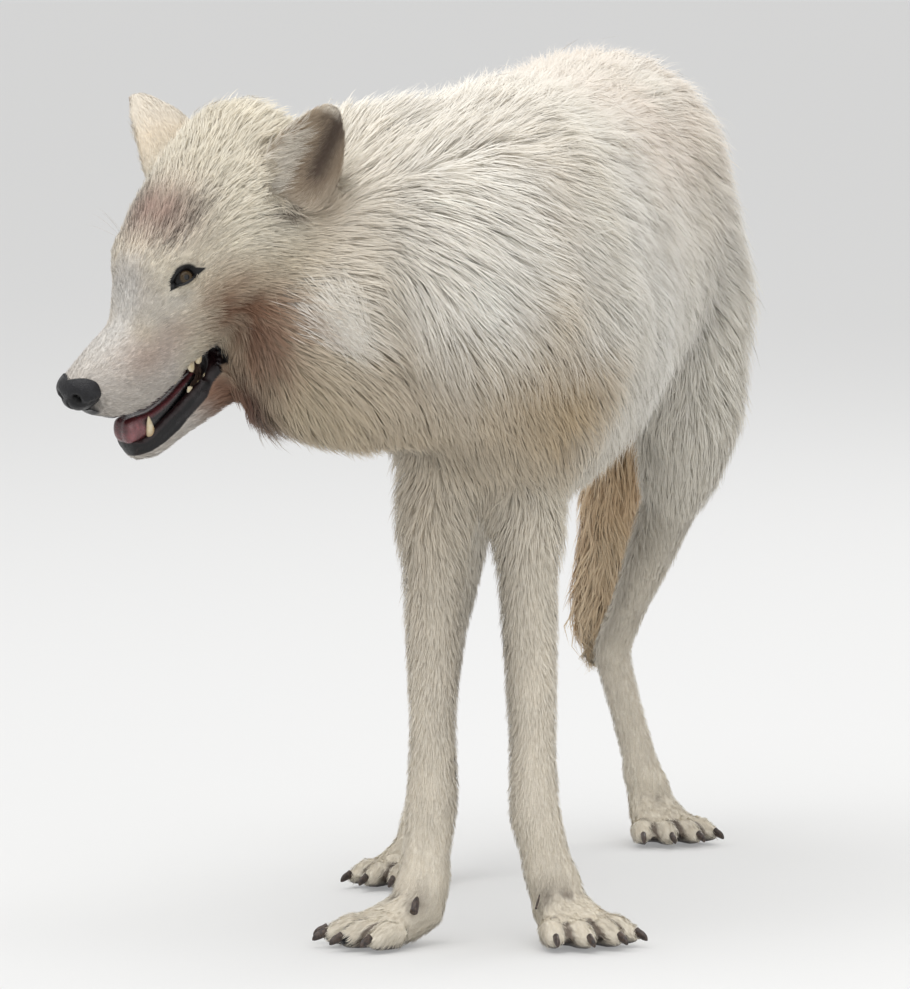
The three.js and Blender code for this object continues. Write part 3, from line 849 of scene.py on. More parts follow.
def with_rims(colour, bare, head):
    """Black skin round the eyes' openings, drawn out to a line at each corner."""
    for side in SIDES:
        radius, _, _, beyond = fissure(head, side)
        middle, axes = eye_frame(side)
        along, up, out = ((head - middle) @ axes.T).T
        share = np.abs(along) / np.where(along > 0, *ALMOND_LONG)
        bend = np.where(along > 0, *ALMOND_BEND) * share**1.6
        tall = np.where(up + bend > 0, *ALMOND_TALL) * np.maximum(1 - share**1.5, 0)
        almond = step(0.5, -0.5, np.abs(up + bend) - tall) * (share < 1) * (out > 0)
        rim = step(BLACK_RIM + 0.9, BLACK_RIM - 0.3, beyond) * step(EYE_RADIUS + 7, EYE_RADIUS + 4, radius)
        rim = np.maximum(rim, almond * (radius < LID_REACH + 2))
        colour, bare = mix(colour, LIP, rim), np.maximum(bare, rim)
    return colour, bare


def with_lips(colour, bare, head, jaw, normal):
    """The black lower lip, the dark edge of the upper one, the inside of the mouth, and the skin under the
    nose."""
    turn = np.array(HEAD)[:3, :3] / MM
    facing = normal @ turn
    side = np.abs(head[:, 0])
    beside = step(40, 35, side)
    in_front = step(180, 172, head[:, 1]) * beside
    over_jaw = jaw[:, 2] + lip_depth(jaw[:, 1])
    below_lip = head[:, 2] - lip_edge(head[:, 1])
    lower = step(-0.6, 0.6, over_jaw) * step(172, 166, jaw[:, 1]) * step(1.4, 0.4, below_lip) * beside
    palate = step(0.35, -0.15, facing[:, 2]) * step(4.0, 1.6, below_lip) * in_front
    edging = step(1.8, 0.8, below_lip) * in_front
    palate = np.maximum(palate, edging)
    palate *= (head[:, 1] > 18) & (jaw[:, 2] > -6)
    mouth = (head[:, 2] < lip_edge(head[:, 1]) + 1) & (jaw[:, 2] > -7) & (side < 40)
    dark = np.maximum(np.maximum(lower, palate), mouth * in_front)
    within = dark * step(34, 20, side) * step(0.2, 0.5, np.abs(facing[:, 2]))
    under_nose = step(27, 22, head[:, 1]) * step(16, 10, head[:, 2])
    dark = np.maximum(dark, under_nose)
    colour = mix(mix(colour, LIP, dark), GUM, 0.4 * within)
    return colour, np.maximum(bare, dark)


# ---- The lie of the coat ----


def coat_flow(co, owner, normal):
    """The way the hair points at each place: back from the nose, down the legs, along ears and tail."""
    head, jaw = apply(INTO_HEAD, co), apply(INTO_JAW, co)
    head_turn, jaw_turn = np.array(HEAD)[:3, :3], np.array(JAW)[:3, :3]
    along_neck = unit((MIDDLE - centre_of("head")) * (1, 1, 0))
    flow = np.zeros_like(co)
    for k, node in enumerate(FLESH):
        mine = owner == k
        p, n, h = co[mine], normal[mine], head[mine]
        if node == "head":
            side = np.abs(h[:, 0])
            away = unit(h - (0, -25, 24))
            sunk = step(120, 210, h[:, 1]) * step(40, 90, side)
            away = away + np.stack([0 * side, 0.2 * sunk, -0.75 * sunk], 1)
            flow[mine] = away @ head_turn.T
        elif node == "lower_jaw":
            flow[mine] = unit(jaw[mine] * (0.3, 0, 0) + (0, 40, -14)) @ jaw_turn.T
        elif node in EARS:
            share, across, inner, along, over = ear_places(node, h, n)
            cup = step(0.1, 0.5, inner) * step(0.5, -0.2, across) * step(0.9, 0.6, share)
            flow[mine] = (along + over * (1.5 * cup)[:, None]) @ head_turn.T
        elif node == "neck":
            fall = 0.45 + 0.75 * step(0.9, 0.0, n[:, 2]) + 0.9 * step(0.60, 0.50, p[:, 2])
            fall *= 1 - 0.65 * step(-0.38, -0.46, p[:, 1])
            flow[mine] = along_neck - UP * fall[:, None]
        elif node == "trunk":
            forward = step(0.15, 0.75, -n[:, 1])
            out = np.abs(p[:, 0] - MIDDLE[0]) / (TRUNK_HIGH[0] - MIDDLE[0])
            fall = 0.30 + 0.55 * out + 0.5 * forward + 0.9 * step(0.62, 0.50, p[:, 2]) * (0.4 + forward)
            flow[mine] = mix(BACK, along_neck * 1.2, forward) - UP * fall[:, None]
        elif node == "tail":
            flow[mine] = -UP + BACK * 0.15
        elif node in UPPERS:
            flow[mine] = -UP + BACK * 0.35
        elif node in LOWERS:
            flow[mine] = -UP + BACK * 0.1
        else:
            leg = node[len("foot_"):]
            toe = centre_of(f"claw_{leg}_2") + centre_of(f"claw_{leg}_3") - 2 * centre_of(node)
            rise = step(0.0, 0.07, p[:, 2])
            flow[mine] = unit(toe * (1, 1, 0)) * (1.2 - rise)[:, None] - UP * (0.35 + rise)[:, None]
    flow = unit(flow)
    return unit(flow - normal * (flow * normal).sum(1, keepdims=True))


def hair_reach(co, owner, normal, depth):
    """The length of the coat's hair over the surface at each place, in metres."""
    head = apply(INTO_HEAD, co)
    reach = np.minimum(depth * 2.6 + 0.004, 0.060)
    on_face = lies_on(owner, ["head"])
    p = folded(head)
    face = 0.0055 + 0.006 * step(95, 165, p[:, 1]) + 0.013 * step(175, 270, p[:, 1])
    face += 0.014 * step(240, 320, p[:, 1]) + 0.004 * near(p, (10, 150, 120), (36, 34, 26))
    face += 0.020 * near(p, (94, 228, 0), (30, 34, 44))
    reach = np.where(on_face, face, reach)
    reach += lies_on(owner, ["neck"]) * 0.018 * near(p, (104, 232, -22), (34, 34, 34))
    for side in SIDES:
        radius, _, _, beyond = fissure(head, side)
        reach = np.where((radius < LID_REACH) & on_face, reach * (0.42 + 0.58 * step(1, 12, beyond)), reach)
    mine, high = lies_on(owner, LOWERS + FEET), co[:, 2]
    reach[mine] = (0.0065 + 0.010 * step(0.2, 0.42, high) + 0.004 * step(0.035, 0.02, high))[mine]
    for node in EARS:
        mine = lies_on(owner, [node])
        share, across, inner, _, _ = ear_places(node, head[mine], normal[mine])
        front = step(0.2, 0.5, inner) * step(0.1, -0.5, across) * step(0.95, 0.6, share)
        reach[mine] = 0.009 + 0.014 * front
    reach[lies_on(owner, ["tail"])] = 0.058
    return reach


LIE_ROUNDS = 14  # of smoothing
DEPTH_ROUNDS = (8, 80)  # everywhere, and then off the head
REACH_ROUNDS = (6, 120)


class Surface:
    """The skin with its fields: where hair can root, and the way it lies there."""

    def __init__(self, mesh, owner):
        self.co, self.tri, self.owner = verts_of(mesh), triangles_of(mesh), owner
        web = Web(mesh)
        sharp = normals_of(mesh)
        self.normal = unit(web.smooth(sharp, 4))
        # how far each place is sunk in a hollow; the feet take painted shade from it
        hollow = ((web.smooth(self.co, 6) - self.co) * sharp).sum(1)
        flow = coat_flow(self.co, owner, self.normal)
        flow = unit(web.smooth(flow, LIE_ROUNDS))
        self.flow = unit(flow - self.normal * (flow * self.normal).sum(1, keepdims=True))
        coarse = (~lies_on(owner, FACE + EARS)).astype(float)
        everywhere, off_head = DEPTH_ROUNDS
        self.depth = web.smooth(web.smooth(coat_depth(self.co, owner), everywhere), off_head, coarse)
        everywhere, off_head = REACH_ROUNDS
        reach = hair_reach(self.co, owner, self.normal, self.depth)
        self.reach = web.smooth(web.smooth(reach, everywhere), off_head, coarse)
        self.colour, self.bare = painted(self.co, owner, self.normal, hollow, web)
        a, b, c = (self.co[self.tri[:, k]] for k in range(3))
        self.area = np.linalg.norm(np.cross(b - a, c - a), axis=1) / 2
        self.tree = BVHTree.FromPolygons(self.co.tolist(), self.tri.tolist())

    def roots(self, nodes, count, favour=None):
        """Random places on these nodes' skin: their triangles and weights within them."""
        wanted = lies_on(self.owner[self.tri[:, 0]], nodes)
        chance = self.area * wanted * (self.bare < 0.5)[self.tri].all(1)
        if favour is not None:
            chance = chance * favour[self.tri].mean(1)
        tri = RNG.choice(len(chance), count, p=chance / chance.sum())
        r = np.sqrt(RNG.random(count))
        s = RNG.random(count)
        weights = np.stack([1 - r, r * (1 - s), r * s], 1)
        return tri, weights

    def at(self, field, tri, weights):
        corners = field[self.tri[tri]]
        if corners.ndim == 2:
            return (corners * weights).sum(1)
        return (corners * weights[:, :, None]).sum(1)

    def nearest(self, places):
        """The skin's place, triangle and smooth normal nearest to each point."""
        hits = [self.tree.find_nearest(p) for p in places.tolist()]
        at = np.array([h[0][:] for h in hits])
        tri = np.array([h[2] for h in hits])
        return at, tri, unit(self.normal[self.tri[tri]].mean(1))


# ---- Tufts ----

RISE = (0.0, 0.55, 0.85, 1.0)  # how far out of the coat's depth a hair has risen, from root to tip
LEVELS = len(RISE)


def turned(v, axis, angle):
    """Vectors turned round unit axes that they are square to."""
    return v * np.cos(angle)[:, None] + np.cross(axis, v) * np.sin(angle)[:, None]


def tree_of(places):
    tree = KDTree(len(places))
    for k, place in enumerate(places.tolist()):
        tree.insert(place, k)
    tree.balance()
    return tree


def nearest_of(tree, places):
    return np.array([tree.find(place)[1] for place in places.tolist()])


def standing(p):
    """How much more than elsewhere the hair stands up: over rump, hips and withers, and on crown and brow."""
    half = half_body(p)
    back, high = half[:, 1], half[:, 2]
    rump = step(0.72, 0.80, high) * step(-0.20, 0.05, back)
    hips = near(half, (0.115, 0.30, 0.60), (0.07, 0.09, 0.09))
    withers = step(0.74, 0.80, high) * step(-0.45, -0.3, back) * step(-0.05, -0.15, back)
    head = apply(INTO_HEAD, p)
    crown = near(head, (0, 240, 160), (60, 60, 40)) + near(head, (0, 145, 120), (44, 30, 24))
    return 1 + 0.1 * rump + 0.7 * hips + 0.1 * withers + 0.35 * crown


LENGTHS_VARY = (0.8, 1.15)
RAISED = 0.06  # metres across the patches of the coat that stand up more
RAISED_BY = 0.18
CURLS = 0.045  # metres across those that turn aside together
CURLED, STRAY = 0.8, 0.6  # shares of the tousle that such patches have, and that each guide has alone
OWN_TINT = 0.4  # how much of its own tint a guide keeps in a lock
DRAWN_IN = 1.3  # the power by which the pull of a lock grows along a guide


class Guides:
    """Paths for tufts, each following the skin as the coat lies."""

    def __init__(self, surface, nodes, count, tousle, long=1.0, lift=(0.75, 1.05), favour=None):
        tri, weights = surface.roots(nodes, count, favour)
        at = surface.at(surface.co, tri, weights)
        normal = unit(surface.at(surface.normal, tri, weights))
        self.root = at
        reach = surface.at(surface.reach, tri, weights) * long * RNG.uniform(*LENGTHS_VARY, count)
        raised = 1 + RAISED_BY * step(0.1, 0.9, waves(at, RAISED, 5))
        lift = RNG.uniform(*lift, count) * raised * standing(at)
        astray = tousle * (waves(at, CURLS, 3) * CURLED + RNG.normal(0, STRAY, count))
        path = [at]
        for k in range(1, LEVELS):
            flow = surface.flow[surface.tri[tri]].mean(1)
            flow = unit(flow - normal * (flow * normal).sum(1, keepdims=True))
            ahead = at + turned(flow, normal, astray) * (reach / (LEVELS - 1))[:, None]
            at, tri, normal = surface.nearest(ahead)
            depth = surface.depth[surface.tri[tri]].mean(1)
            path.append(at + normal * (depth * RISE[k] * lift)[:, None])
        self.path = np.stack(path, 1)
        self.tint = RNG.normal(0, 1, count)
        self.find = tree_of(self.root)

    def gathered(self, leaders, strength):
        """Pulls the paths towards the nearest of some leading paths, most at their tips."""
        led_by = nearest_of(leaders.find, self.root)
        leader, root = leaders.path[led_by], self.root
        strength = RNG.uniform(*strength, len(root))
        share = (np.linspace(0, 1, LEVELS) ** DRAWN_IN)[None, :, None] * strength[:, None, None]
        follow = leader + (root - leader[:, 0])[:, None] * (1 - share)
        self.path = self.path * (1 - share) + follow * share
        self.tint = self.tint * OWN_TINT + leaders.tint[led_by]


FUR_BOX = (np.array(CAD_BOX[0]) - 0.02, np.array(CAD_BOX[1]) + 0.02)
LONG_BLADE = (0, 1, 2, 3)  # the levels of a path that a blade has corners at
SHORT_BLADE = (0, 2, 3)
SKIN_SHADED = 0.9  # how far a blade's shading follows the skin under it, which makes the coat look soft
BLADE_AT = (0, 0.33, 0.67, 1)  # shares of its length where a blade has these widths and tones: darker at the root, partly as painted shade low in the coat, and paler at the tip, as the hair is
BLADE_WIDTH = (0.8, 1.0, 0.7, 0.0)
BLADE_SHADE_AND_PALE_TIP = (0.96, 1.0, 1.02, 1.05)
BLADE_ROLL = 0.35


class Blades:
    """Thin blades along paths out of the skin, each ending in a point."""

    def __init__(self, surface, places, path, colour, width, levels):
        tri, weights = places
        self.root = path[:, 0]
        self.owner = surface.owner[surface.tri[tri][:, 0]]
        normal = unit(surface.at(surface.normal, tri, weights))
        share = np.array(levels) / levels[-1]
        taper, light = (np.interp(share, BLADE_AT, values) for values in (BLADE_WIDTH, BLADE_SHADE_AND_PALE_TIP))
        roll = RNG.normal(0, BLADE_ROLL, len(path))[:, None]
        corners, root_shade_pale_tip, shading = [], [], []
        last = len(levels) - 1
        for k, level in enumerate(levels):
            here = path[:, level]
            along = unit(path[:, levels[min(k + 1, last)]] - path[:, levels[max(k - 1, 0)]])
            side = unit(np.cross(along, normal))
            side = side * np.cos(roll) + np.cross(along, side) * np.sin(roll)
            half = side * (width * taper[k] / 2)[:, None]
            places = [here] if k == last else [here - half, here + half]
            corners += places
            root_shade_pale_tip += [light[k]] * len(places)
            shading += [unit(mix(np.cross(side, along), normal, SKIN_SHADED))] * len(places)
        self.corners, self.shading = np.stack(corners, 1), np.stack(shading, 1)
        # the colour darkened towards the root, partly as painted shade, and paler towards the tip
        self.colour = (colour[:, None] * np.array(root_shade_pale_tip)[None, :, None]).clip(0, 1)


TUFT_SIZES = (0.65, 1.1)  # a tuft's size as a share of its guide's
WIDTHS_VARY = (0.7, 1.3)
TINTED = 0.8  # how far a tint takes the place of the skin's colour
FRAY = 0.06  # how far tips stray, as a share of their length


def tufts(
    surface, guides, nodes, count, width, levels=LONG_BLADE, gather=0.35, shade=0.03, favour=None, tint=None
):
    """Blades that follow their nearest guides. gather draws their tips together, shade varies their tone."""
    tri, weights = surface.roots(nodes, count, favour)
    root = surface.at(surface.co, tri, weights)
    guide = nearest_of(guides.find, root)
    t = np.linspace(0, 1, LEVELS)[None, :, None]
    lead = guides.path[guide]
    shape = (lead - lead[:, :1]) * RNG.uniform(*TUFT_SIZES, count)[:, None, None]
    inward = (lead[:, :1] - root[:, None]) * t**1.3 * gather
    long = np.linalg.norm(shape[:, -1], axis=1)[:, None, None]
    astray = RNG.normal(0, 1, (count, 1, 3)) * t**1.5 * long * FRAY
    path = (root[:, None] + shape + inward + astray).clip(*FUR_BOX)
    tone = 1 + (RNG.normal(0, 1, count) + guides.tint[guide]) * shade
    colour = surface.at(surface.colour, tri, weights)
    colour = mix(colour, tint, TINTED) if tint is not None else colour
    colour = (colour * tone[:, None]).clip(0.002, PALEST)
    return Blades(surface, (tri, weights), path, colour, width * RNG.uniform(*WIDTHS_VARY, count), levels)


WHISKER_LEVELS = tuple(range(9))
WHISKER_WIDTH = 0.0003
WHISKER_SAG = 0.22
WHISKERS_VARY = (0.6, 1.1)


def whiskers(surface, roots, toward, long, colour):
    """Single stiff hairs, one from each root, bent over towards the world's down as they grow."""
    at, tri, _ = surface.nearest(roots)
    weights = np.tile([1 / 3, 1 / 3, 1 / 3], (len(roots), 1))
    t = np.linspace(0, 1, len(WHISKER_LEVELS))[None, :, None]
    long = (long * RNG.uniform(*WHISKERS_VARY, len(roots)))[:, None, None]
    toward = unit(toward + RNG.normal(0, 0.12, toward.shape))[:, None]
    path = at[:, None] + (toward * t - UP * WHISKER_SAG * t**2) * long
    colour = np.tile(colour, (len(roots), 1))
    return Blades(surface, (tri, weights), path, colour, np.full(len(roots), WHISKER_WIDTH), WHISKER_LEVELS)


PATCH = 0.003  # size of a tuft's patch on the unwrap
PIECE_TRIANGLES = 190_000  # at most, in one piece of the coat
CHART_ROW = 1.9  # width of the rows that the solids' unwraps are laid in, in metres
CHART_MARGIN = 0.02


def blade_of(corners):
    """The triangles of a blade with this many corners, and the corners' spots on its patch."""
    rungs = corners // 2
    tri = []
    for k in range(rungs - 1):
        a = 2 * k
        tri += [(a, a + 1, a + 3), (a, a + 3, a + 2)]
    tri.append((corners - 3, corners - 2, corners - 1))
    spots = [(x, k / rungs - 0.5) for k in range(rungs) for x in (-0.5, 0.5)] + [(0.0, 0.5)]
    return np.array(tri), np.array(spots)


def fur_mesh(name, corners, colour, shading, spots):
    """A mesh of many blades, with their colours, soft normals and patches on the unwrap."""
    count, each = corners.shape[:2]
    blade, blade_spots = blade_of(each)
    tri = (blade[None] + np.arange(count)[:, None, None] * each).reshape(-1, 3)
    mesh = bpy.data.meshes.new(name)
    mesh.vertices.add(count * each)
    mesh.vertices.foreach_set("co", corners.astype(np.float32).ravel())
    mesh.loops.add(tri.size)
    mesh.loops.foreach_set("vertex_index", tri.astype(np.int32).ravel())
    mesh.polygons.add(len(tri))
    mesh.polygons.foreach_set("loop_start", np.arange(0, tri.size, 3, dtype=np.int32))
    mesh.update(calc_edges=True)
    smooth_shaded(mesh)
    paint(mesh, colour.reshape(-1, 3))
    layer = mesh.uv_layers.new(name="OFBake", do_init=False)
    patch = spots[:, None] + blade_spots[None] * PATCH
    layer.uv.foreach_set("vector", patch.reshape(-1, 2)[tri.ravel()].astype(np.float32).ravel())
    mesh.normals_split_custom_set_from_vertices(shading.reshape(-1, 3).tolist())
    return mesh


def unwrapped(root, nodes):
    """Places on an unwrap of the skin: each solid of flesh is rolled off round its long axis."""
    charts = {}
    for node in FLESH:
        co = verts_of(NODES[node].data)
        middle = co.mean(0)
        axes = np.linalg.svd(co - middle, full_matrices=False)[2]
        along = (co - middle) @ axes[0]
        radius = np.linalg.norm((co - middle) @ axes[1:].T, axis=1).mean()
        charts[node] = (middle, axes, along.min(), np.ptp(along), 2 * math.pi * radius)
    shelves = sorted(FLESH, key=lambda n: -charts[n][3])
    x, y, tall, corner = 0.0, 0.0, 0.0, {}
    for node in shelves:
        long, wide = charts[node][3:]
        if x + wide > CHART_ROW:
            x, y, tall = 0.0, y + tall + CHART_MARGIN, 0.0
        corner[node] = (x, y)
        x, tall = x + wide + CHART_MARGIN, max(tall, long)
    whole = max(CHART_ROW, y + tall) + CHART_MARGIN
    spots = np.zeros((len(root), 2))
    for node in FLESH:
        mine = lies_on(nodes, [node])
        middle, axes, start, long, wide = charts[node]
        p = (root[mine] - middle) @ axes.T
        around = np.arctan2(p[:, 2], p[:, 1]) / (2 * math.pi) + 0.5
        along = (p[:, 0] - start).clip(0, long)
        spots[mine] = np.stack([corner[node][0] + around * wide, corner[node][1] + along], 1) / whole
    border = 2 * PATCH
    return spots * (1 - 2 * border) + border


# ---- Finishes ----


class Finish:
    """A material under construction: a Principled shader, with textures in the piece's own metres."""

    def __init__(self, name, roughness, **sockets):
        self.material = bpy.data.materials.new(name)
        self.material.use_nodes = True
        self.nodes, self.links = self.material.node_tree.nodes, self.material.node_tree.links
        self.shader = self.nodes["Principled BSDF"]
        self.shader.inputs["Roughness"].default_value = roughness
        for socket, value in sockets.items():
            self.shader.inputs[socket.replace("_", " ")].default_value = value

    def node(self, kind, **inputs):
        node = self.nodes.new(f"ShaderNode{kind}")
        for socket, value in inputs.items():
            self.put(value, node.inputs[socket.replace("_", " ")])
        return node

    def put(self, value, socket):
        if isinstance(value, bpy.types.NodeSocket):
            self.links.new(value, socket)
        else:
            socket.default_value = value

    def place(self, stretch=(1, 1, 1)):
        spot = self.node("TexCoord")
        return self.node("Mapping", Vector=spot.outputs["Object"], Scale=stretch).outputs["Vector"]

    def noise(self, size, detail=4.0, stretch=(1, 1, 1)):
        """Soft noise with humps about this size across, in metres."""
        return self.node("TexNoise", Vector=self.place(stretch), Scale=1 / size, Detail=detail).outputs["Fac"]

    def cells(self, size):
        """The distance from the middles of cells about this size across."""
        return self.node("TexVoronoi", Vector=self.place(), Scale=1 / size).outputs["Distance"]

    def attribute(self, name, output):
        node = self.nodes.new("ShaderNodeAttribute")
        node.attribute_name = name
        return node.outputs[output]

    def between(self, value, start, end, low=0.0, high=1.0):
        """The value's range from start to end, turned into one from low to high."""
        ranges = {"From_Min": start, "From_Max": end, "To_Min": low, "To_Max": high}
        return self.node("MapRange", Value=value, **ranges).outputs["Result"]

    def blended(self, share, a, b, how="MIX"):
        node = self.nodes.new("ShaderNodeMix")
        node.data_type = "RGBA"
        node.blend_type = how
        self.put(share, node.inputs["Factor"])
        for colour, socket in ((a, node.inputs[6]), (b, node.inputs[7])):
            self.put(colour if isinstance(colour, bpy.types.NodeSocket) else (*colour, 1), socket)
        return node.outputs[2]

    def colour(self, colour):
        self.links.new(colour, self.shader.inputs["Base Color"])
        return self

    def coated(self, share, tint):
        """The painted colour, turned by a share towards itself times a tint."""
        coat = self.attribute("Coat", "Color")
        return self.colour(self.blended(share, coat, self.blended(1.0, coat, tint, "MULTIPLY")))

    def stained(self, stain, tint, low, high):
        """Painted colour that turns towards itself times a tint in soft stains, which are rougher too."""
        self.coated(self.between(stain, 0.35, 0.65), tint)
        return self.rough(self.between(stain, 0.3, 0.7, low, high))

    def rough(self, value):
        self.links.new(value, self.shader.inputs["Roughness"])
        return self

    def bump(self, height, depth, strength=1.0):
        node = self.node("Bump", Height=height, Strength=strength, Distance=depth)
        self.links.new(node.outputs["Normal"], self.shader.inputs["Normal"])
        return self


def fur_finish():
    """Blades take their colour from their root's place, and vary a little along their length."""
    fur = Finish("fur", 0.62, Specular_IOR_Level=0.3, Sheen_Weight=0.25, Sheen_Roughness=0.45)
    streak = fur.between(fur.noise(0.004, 2.0), 0.3, 0.7)
    fur.coated(streak, (0.90, 0.88, 0.85))
    return fur.rough(fur.between(streak, 0, 1, 0.55, 0.72)).material


def skin_finish():
    """Under the coat: short flat hair as fine streaks, and moist where the skin is bare."""
    skin = Finish("skin", 0.7, Specular_IOR_Level=0.35)
    hairs, mottle = skin.noise(0.0011, 3.0), skin.noise(0.006, 3.0)
    skin.coated(skin.between(hairs, 0.32, 0.68, 1.0, 0.0), (0.84, 0.82, 0.79))
    wet = skin.between(mottle, 0.3, 0.7, 0.24, 0.42)
    dry = skin.between(hairs, 0.3, 0.7, 0.65, 0.85)
    rough = skin.node("Mix", Factor=skin.attribute("Bare", "Fac"))
    skin.put(dry, rough.inputs[2])
    skin.put(wet, rough.inputs[3])
    return skin.rough(rough.outputs[0]).bump(hairs, 0.0006, 0.7).material


def nose_finish():
    nose = Finish("nose_leather", 0.42, Specular_IOR_Level=0.3, Coat_Weight=0.12, Coat_Roughness=0.3)
    nose.stained(nose.noise(0.006, 3.0), (0.62, 0.60, 0.62), 0.3, 0.5)
    return nose.bump(nose.cells(0.0013), 0.0005, 0.8).material


def tongue_finish():
    tongue = Finish("tongue", 0.3, Specular_IOR_Level=0.5, Coat_Weight=0.4, Coat_Roughness=0.2,
                    Subsurface_Weight=0.15, Subsurface_Scale=0.004)  # fmt: skip
    tongue.stained(tongue.noise(0.005, 3.0), (0.6, 0.5, 0.5), 0.2, 0.4)
    return tongue.bump(tongue.cells(0.0012), 0.0004, 0.7).material


def tooth_finish():
    tooth = Finish("tooth", 0.25, Specular_IOR_Level=0.5, Coat_Weight=0.25, Coat_Roughness=0.15)
    stain = tooth.noise(0.003, 3.0)
    tooth.coated(tooth.between(stain, 0.35, 0.7), (0.85, 0.74, 0.55))
    return tooth.rough(tooth.between(stain, 0.3, 0.7, 0.18, 0.35)).bump(stain, 0.0002, 0.4).material


def claw_finish():
    claw = Finish("claw", 0.4, Specular_IOR_Level=0.45, Coat_Weight=0.15, Coat_Roughness=0.3)
    streaks, stain = claw.noise(0.0009, 3.0, (1.0, 0.25, 0.5)), claw.noise(0.004, 2.0)
    horn = claw.blended(claw.between(streaks, 0.35, 0.65), rgb(52, 42, 38), rgb(92, 76, 66))
    claw.colour(claw.blended(claw.between(stain, 0.45, 0.7), horn, rgb(38, 32, 31)))
    return claw.rough(claw.between(streaks, 0.3, 0.7, 0.32, 0.55)).bump(streaks, 0.0002, 0.5).material


def eye_finish():
    """Wet all over. The iris is painted on the eyeball's points."""
    eye = Finish("eye", 0.07, Specular_IOR_Level=0.28)
    return eye.coated(eye.between(eye.noise(0.0007, 3.0), 0.35, 0.65), (0.6, 0.55, 0.5)).material


# ---- Small pieces of the head and feet ----


def lofted(name, forms, colours):
    """One smooth mesh of closed forms. Each is a stack of rings with as many points in every ring."""
    verts, faces, paints, count = [], [], [], 0
    for rings, colour in zip(forms, colours):
        rows, around = rings.shape[:2]
        ends = count + rows * around
        for k in range(around):
            beside = (k + 1) % around
            for row in range(rows - 1):
                a, b = count + row * around + k, count + row * around + beside
                faces.append((a, b, b + around, a + around))
            top = count + (rows - 1) * around
            faces += [(ends, count + beside, count + k), (ends + 1, top + k, top + beside)]
        verts += [rings.reshape(-1, 3), rings[0].mean(0)[None], rings[-1].mean(0)[None]]
        paints += [colour.reshape(-1, 3), colour[0].mean(0)[None], colour[-1].mean(0)[None]]
        count = ends + 2
    mesh = bpy.data.meshes.new(name)
    mesh.from_pydata(np.concatenate(verts).tolist(), [], faces)
    with edited(mesh) as built:
        bmesh.ops.recalc_face_normals(built, faces=built.faces)
    paint(mesh, np.concatenate(paints))
    return smooth_shaded(mesh)


def place(name, mesh, material, slot, *nodes):
    piece = object_of(name, mesh)
    mesh.materials.append(material)
    if nodes:
        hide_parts(*nodes)
    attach(piece, "root")


def squared(angles, wide, tall):
    """The x and z of a ring's points. Powers under 1 make its outline squarer."""
    x, z = np.cos(angles), np.sin(angles)
    return np.sign(x) * np.abs(x) ** wide, np.sign(z) * np.abs(z) ** tall


def across_rings(x, y, z):
    """The points of rings that each lie across one y. x and z have a row for each."""
    return np.stack([x, np.broadcast_to(y[:, None], x.shape), z], 2)


def between_rings(table, count):
    """The columns of a table of rings, read at this many places along it."""
    at = np.linspace(0, len(table) - 1, count)
    return [np.interp(at, np.arange(len(table)), column) for column in np.array(table, float).T]


def round_angles(count):
    """Angles all round, for the points of a ring."""
    return np.linspace(0, 2 * math.pi, count, endpoint=False)


ENAMEL = rgb(226, 216, 190)
ENAMEL_ROOT = rgb(176, 150, 112)
TOOTH_RINGS = 9
TOOTH_POINTS = 12
TOOTH_BEND = np.array([0, 0.10, 0])


def tooth(base, tip, wide, thick, point=1.0):
    """A tooth from in the gum to its tip, bent a little back. wide is along the jaw, thick is across it."""
    base, tip = np.array(base, float), np.array(tip, float)
    along = tip - base
    t = np.linspace(-0.25, 1, TOOTH_RINGS)
    body = np.maximum(1 - t.clip(0, 1) ** (1.6 / point), 0) ** (0.62 * point)
    a = round_angles(TOOTH_POINTS)
    bend = TOOTH_BEND * np.linalg.norm(along)
    middle = base + along * t[:, None] - bend * (t * (1 - t))[:, None]
    ring = np.stack([thick / 2 * np.cos(a), wide / 2 * np.sin(a), 0 * a], 1)
    rings = middle[:, None] + ring[None] * body[:, None, None]
    return rings, np.broadcast_to(mix(ENAMEL_ROOT, ENAMEL, step(-0.1, 0.35, t))[:, None], rings.shape)


# Teeth as: base, tip, width along the jaw, thickness across it, how pointed. Of the left side.
LOWER_TEETH = [
    ((1.9, 47, -7), (1.9, 46.5, -1), 2.4, 3.2, 0.6),
    ((5.4, 48, -7), (5.6, 47.5, -0.5), 2.6, 3.4, 0.6),
    ((9.2, 51.5, -7), (9.8, 50.5, 2.2), 4.2, 4.4, 0.7),
    ((13, 57.5, -3), (15.5, 65, 13.0), 11.0, 6.5, 1.15),
    ((17, 84, -11), (17.3, 84.5, -6), 7.0, 4.0, 1.0),
    ((18, 98, -11), (18.3, 98.5, -5), 9.0, 4.4, 1.0),
    ((18.5, 112, -9), (19, 112.5, 0.5), 11.0, 5.0, 1.0),
    ((19, 124, -11), (19.3, 123.5, -4), 8.0, 6.0, 1.0),
    ((20, 133, -11), (20, 133, -4), 9.0, 6.5, 0.8),
]
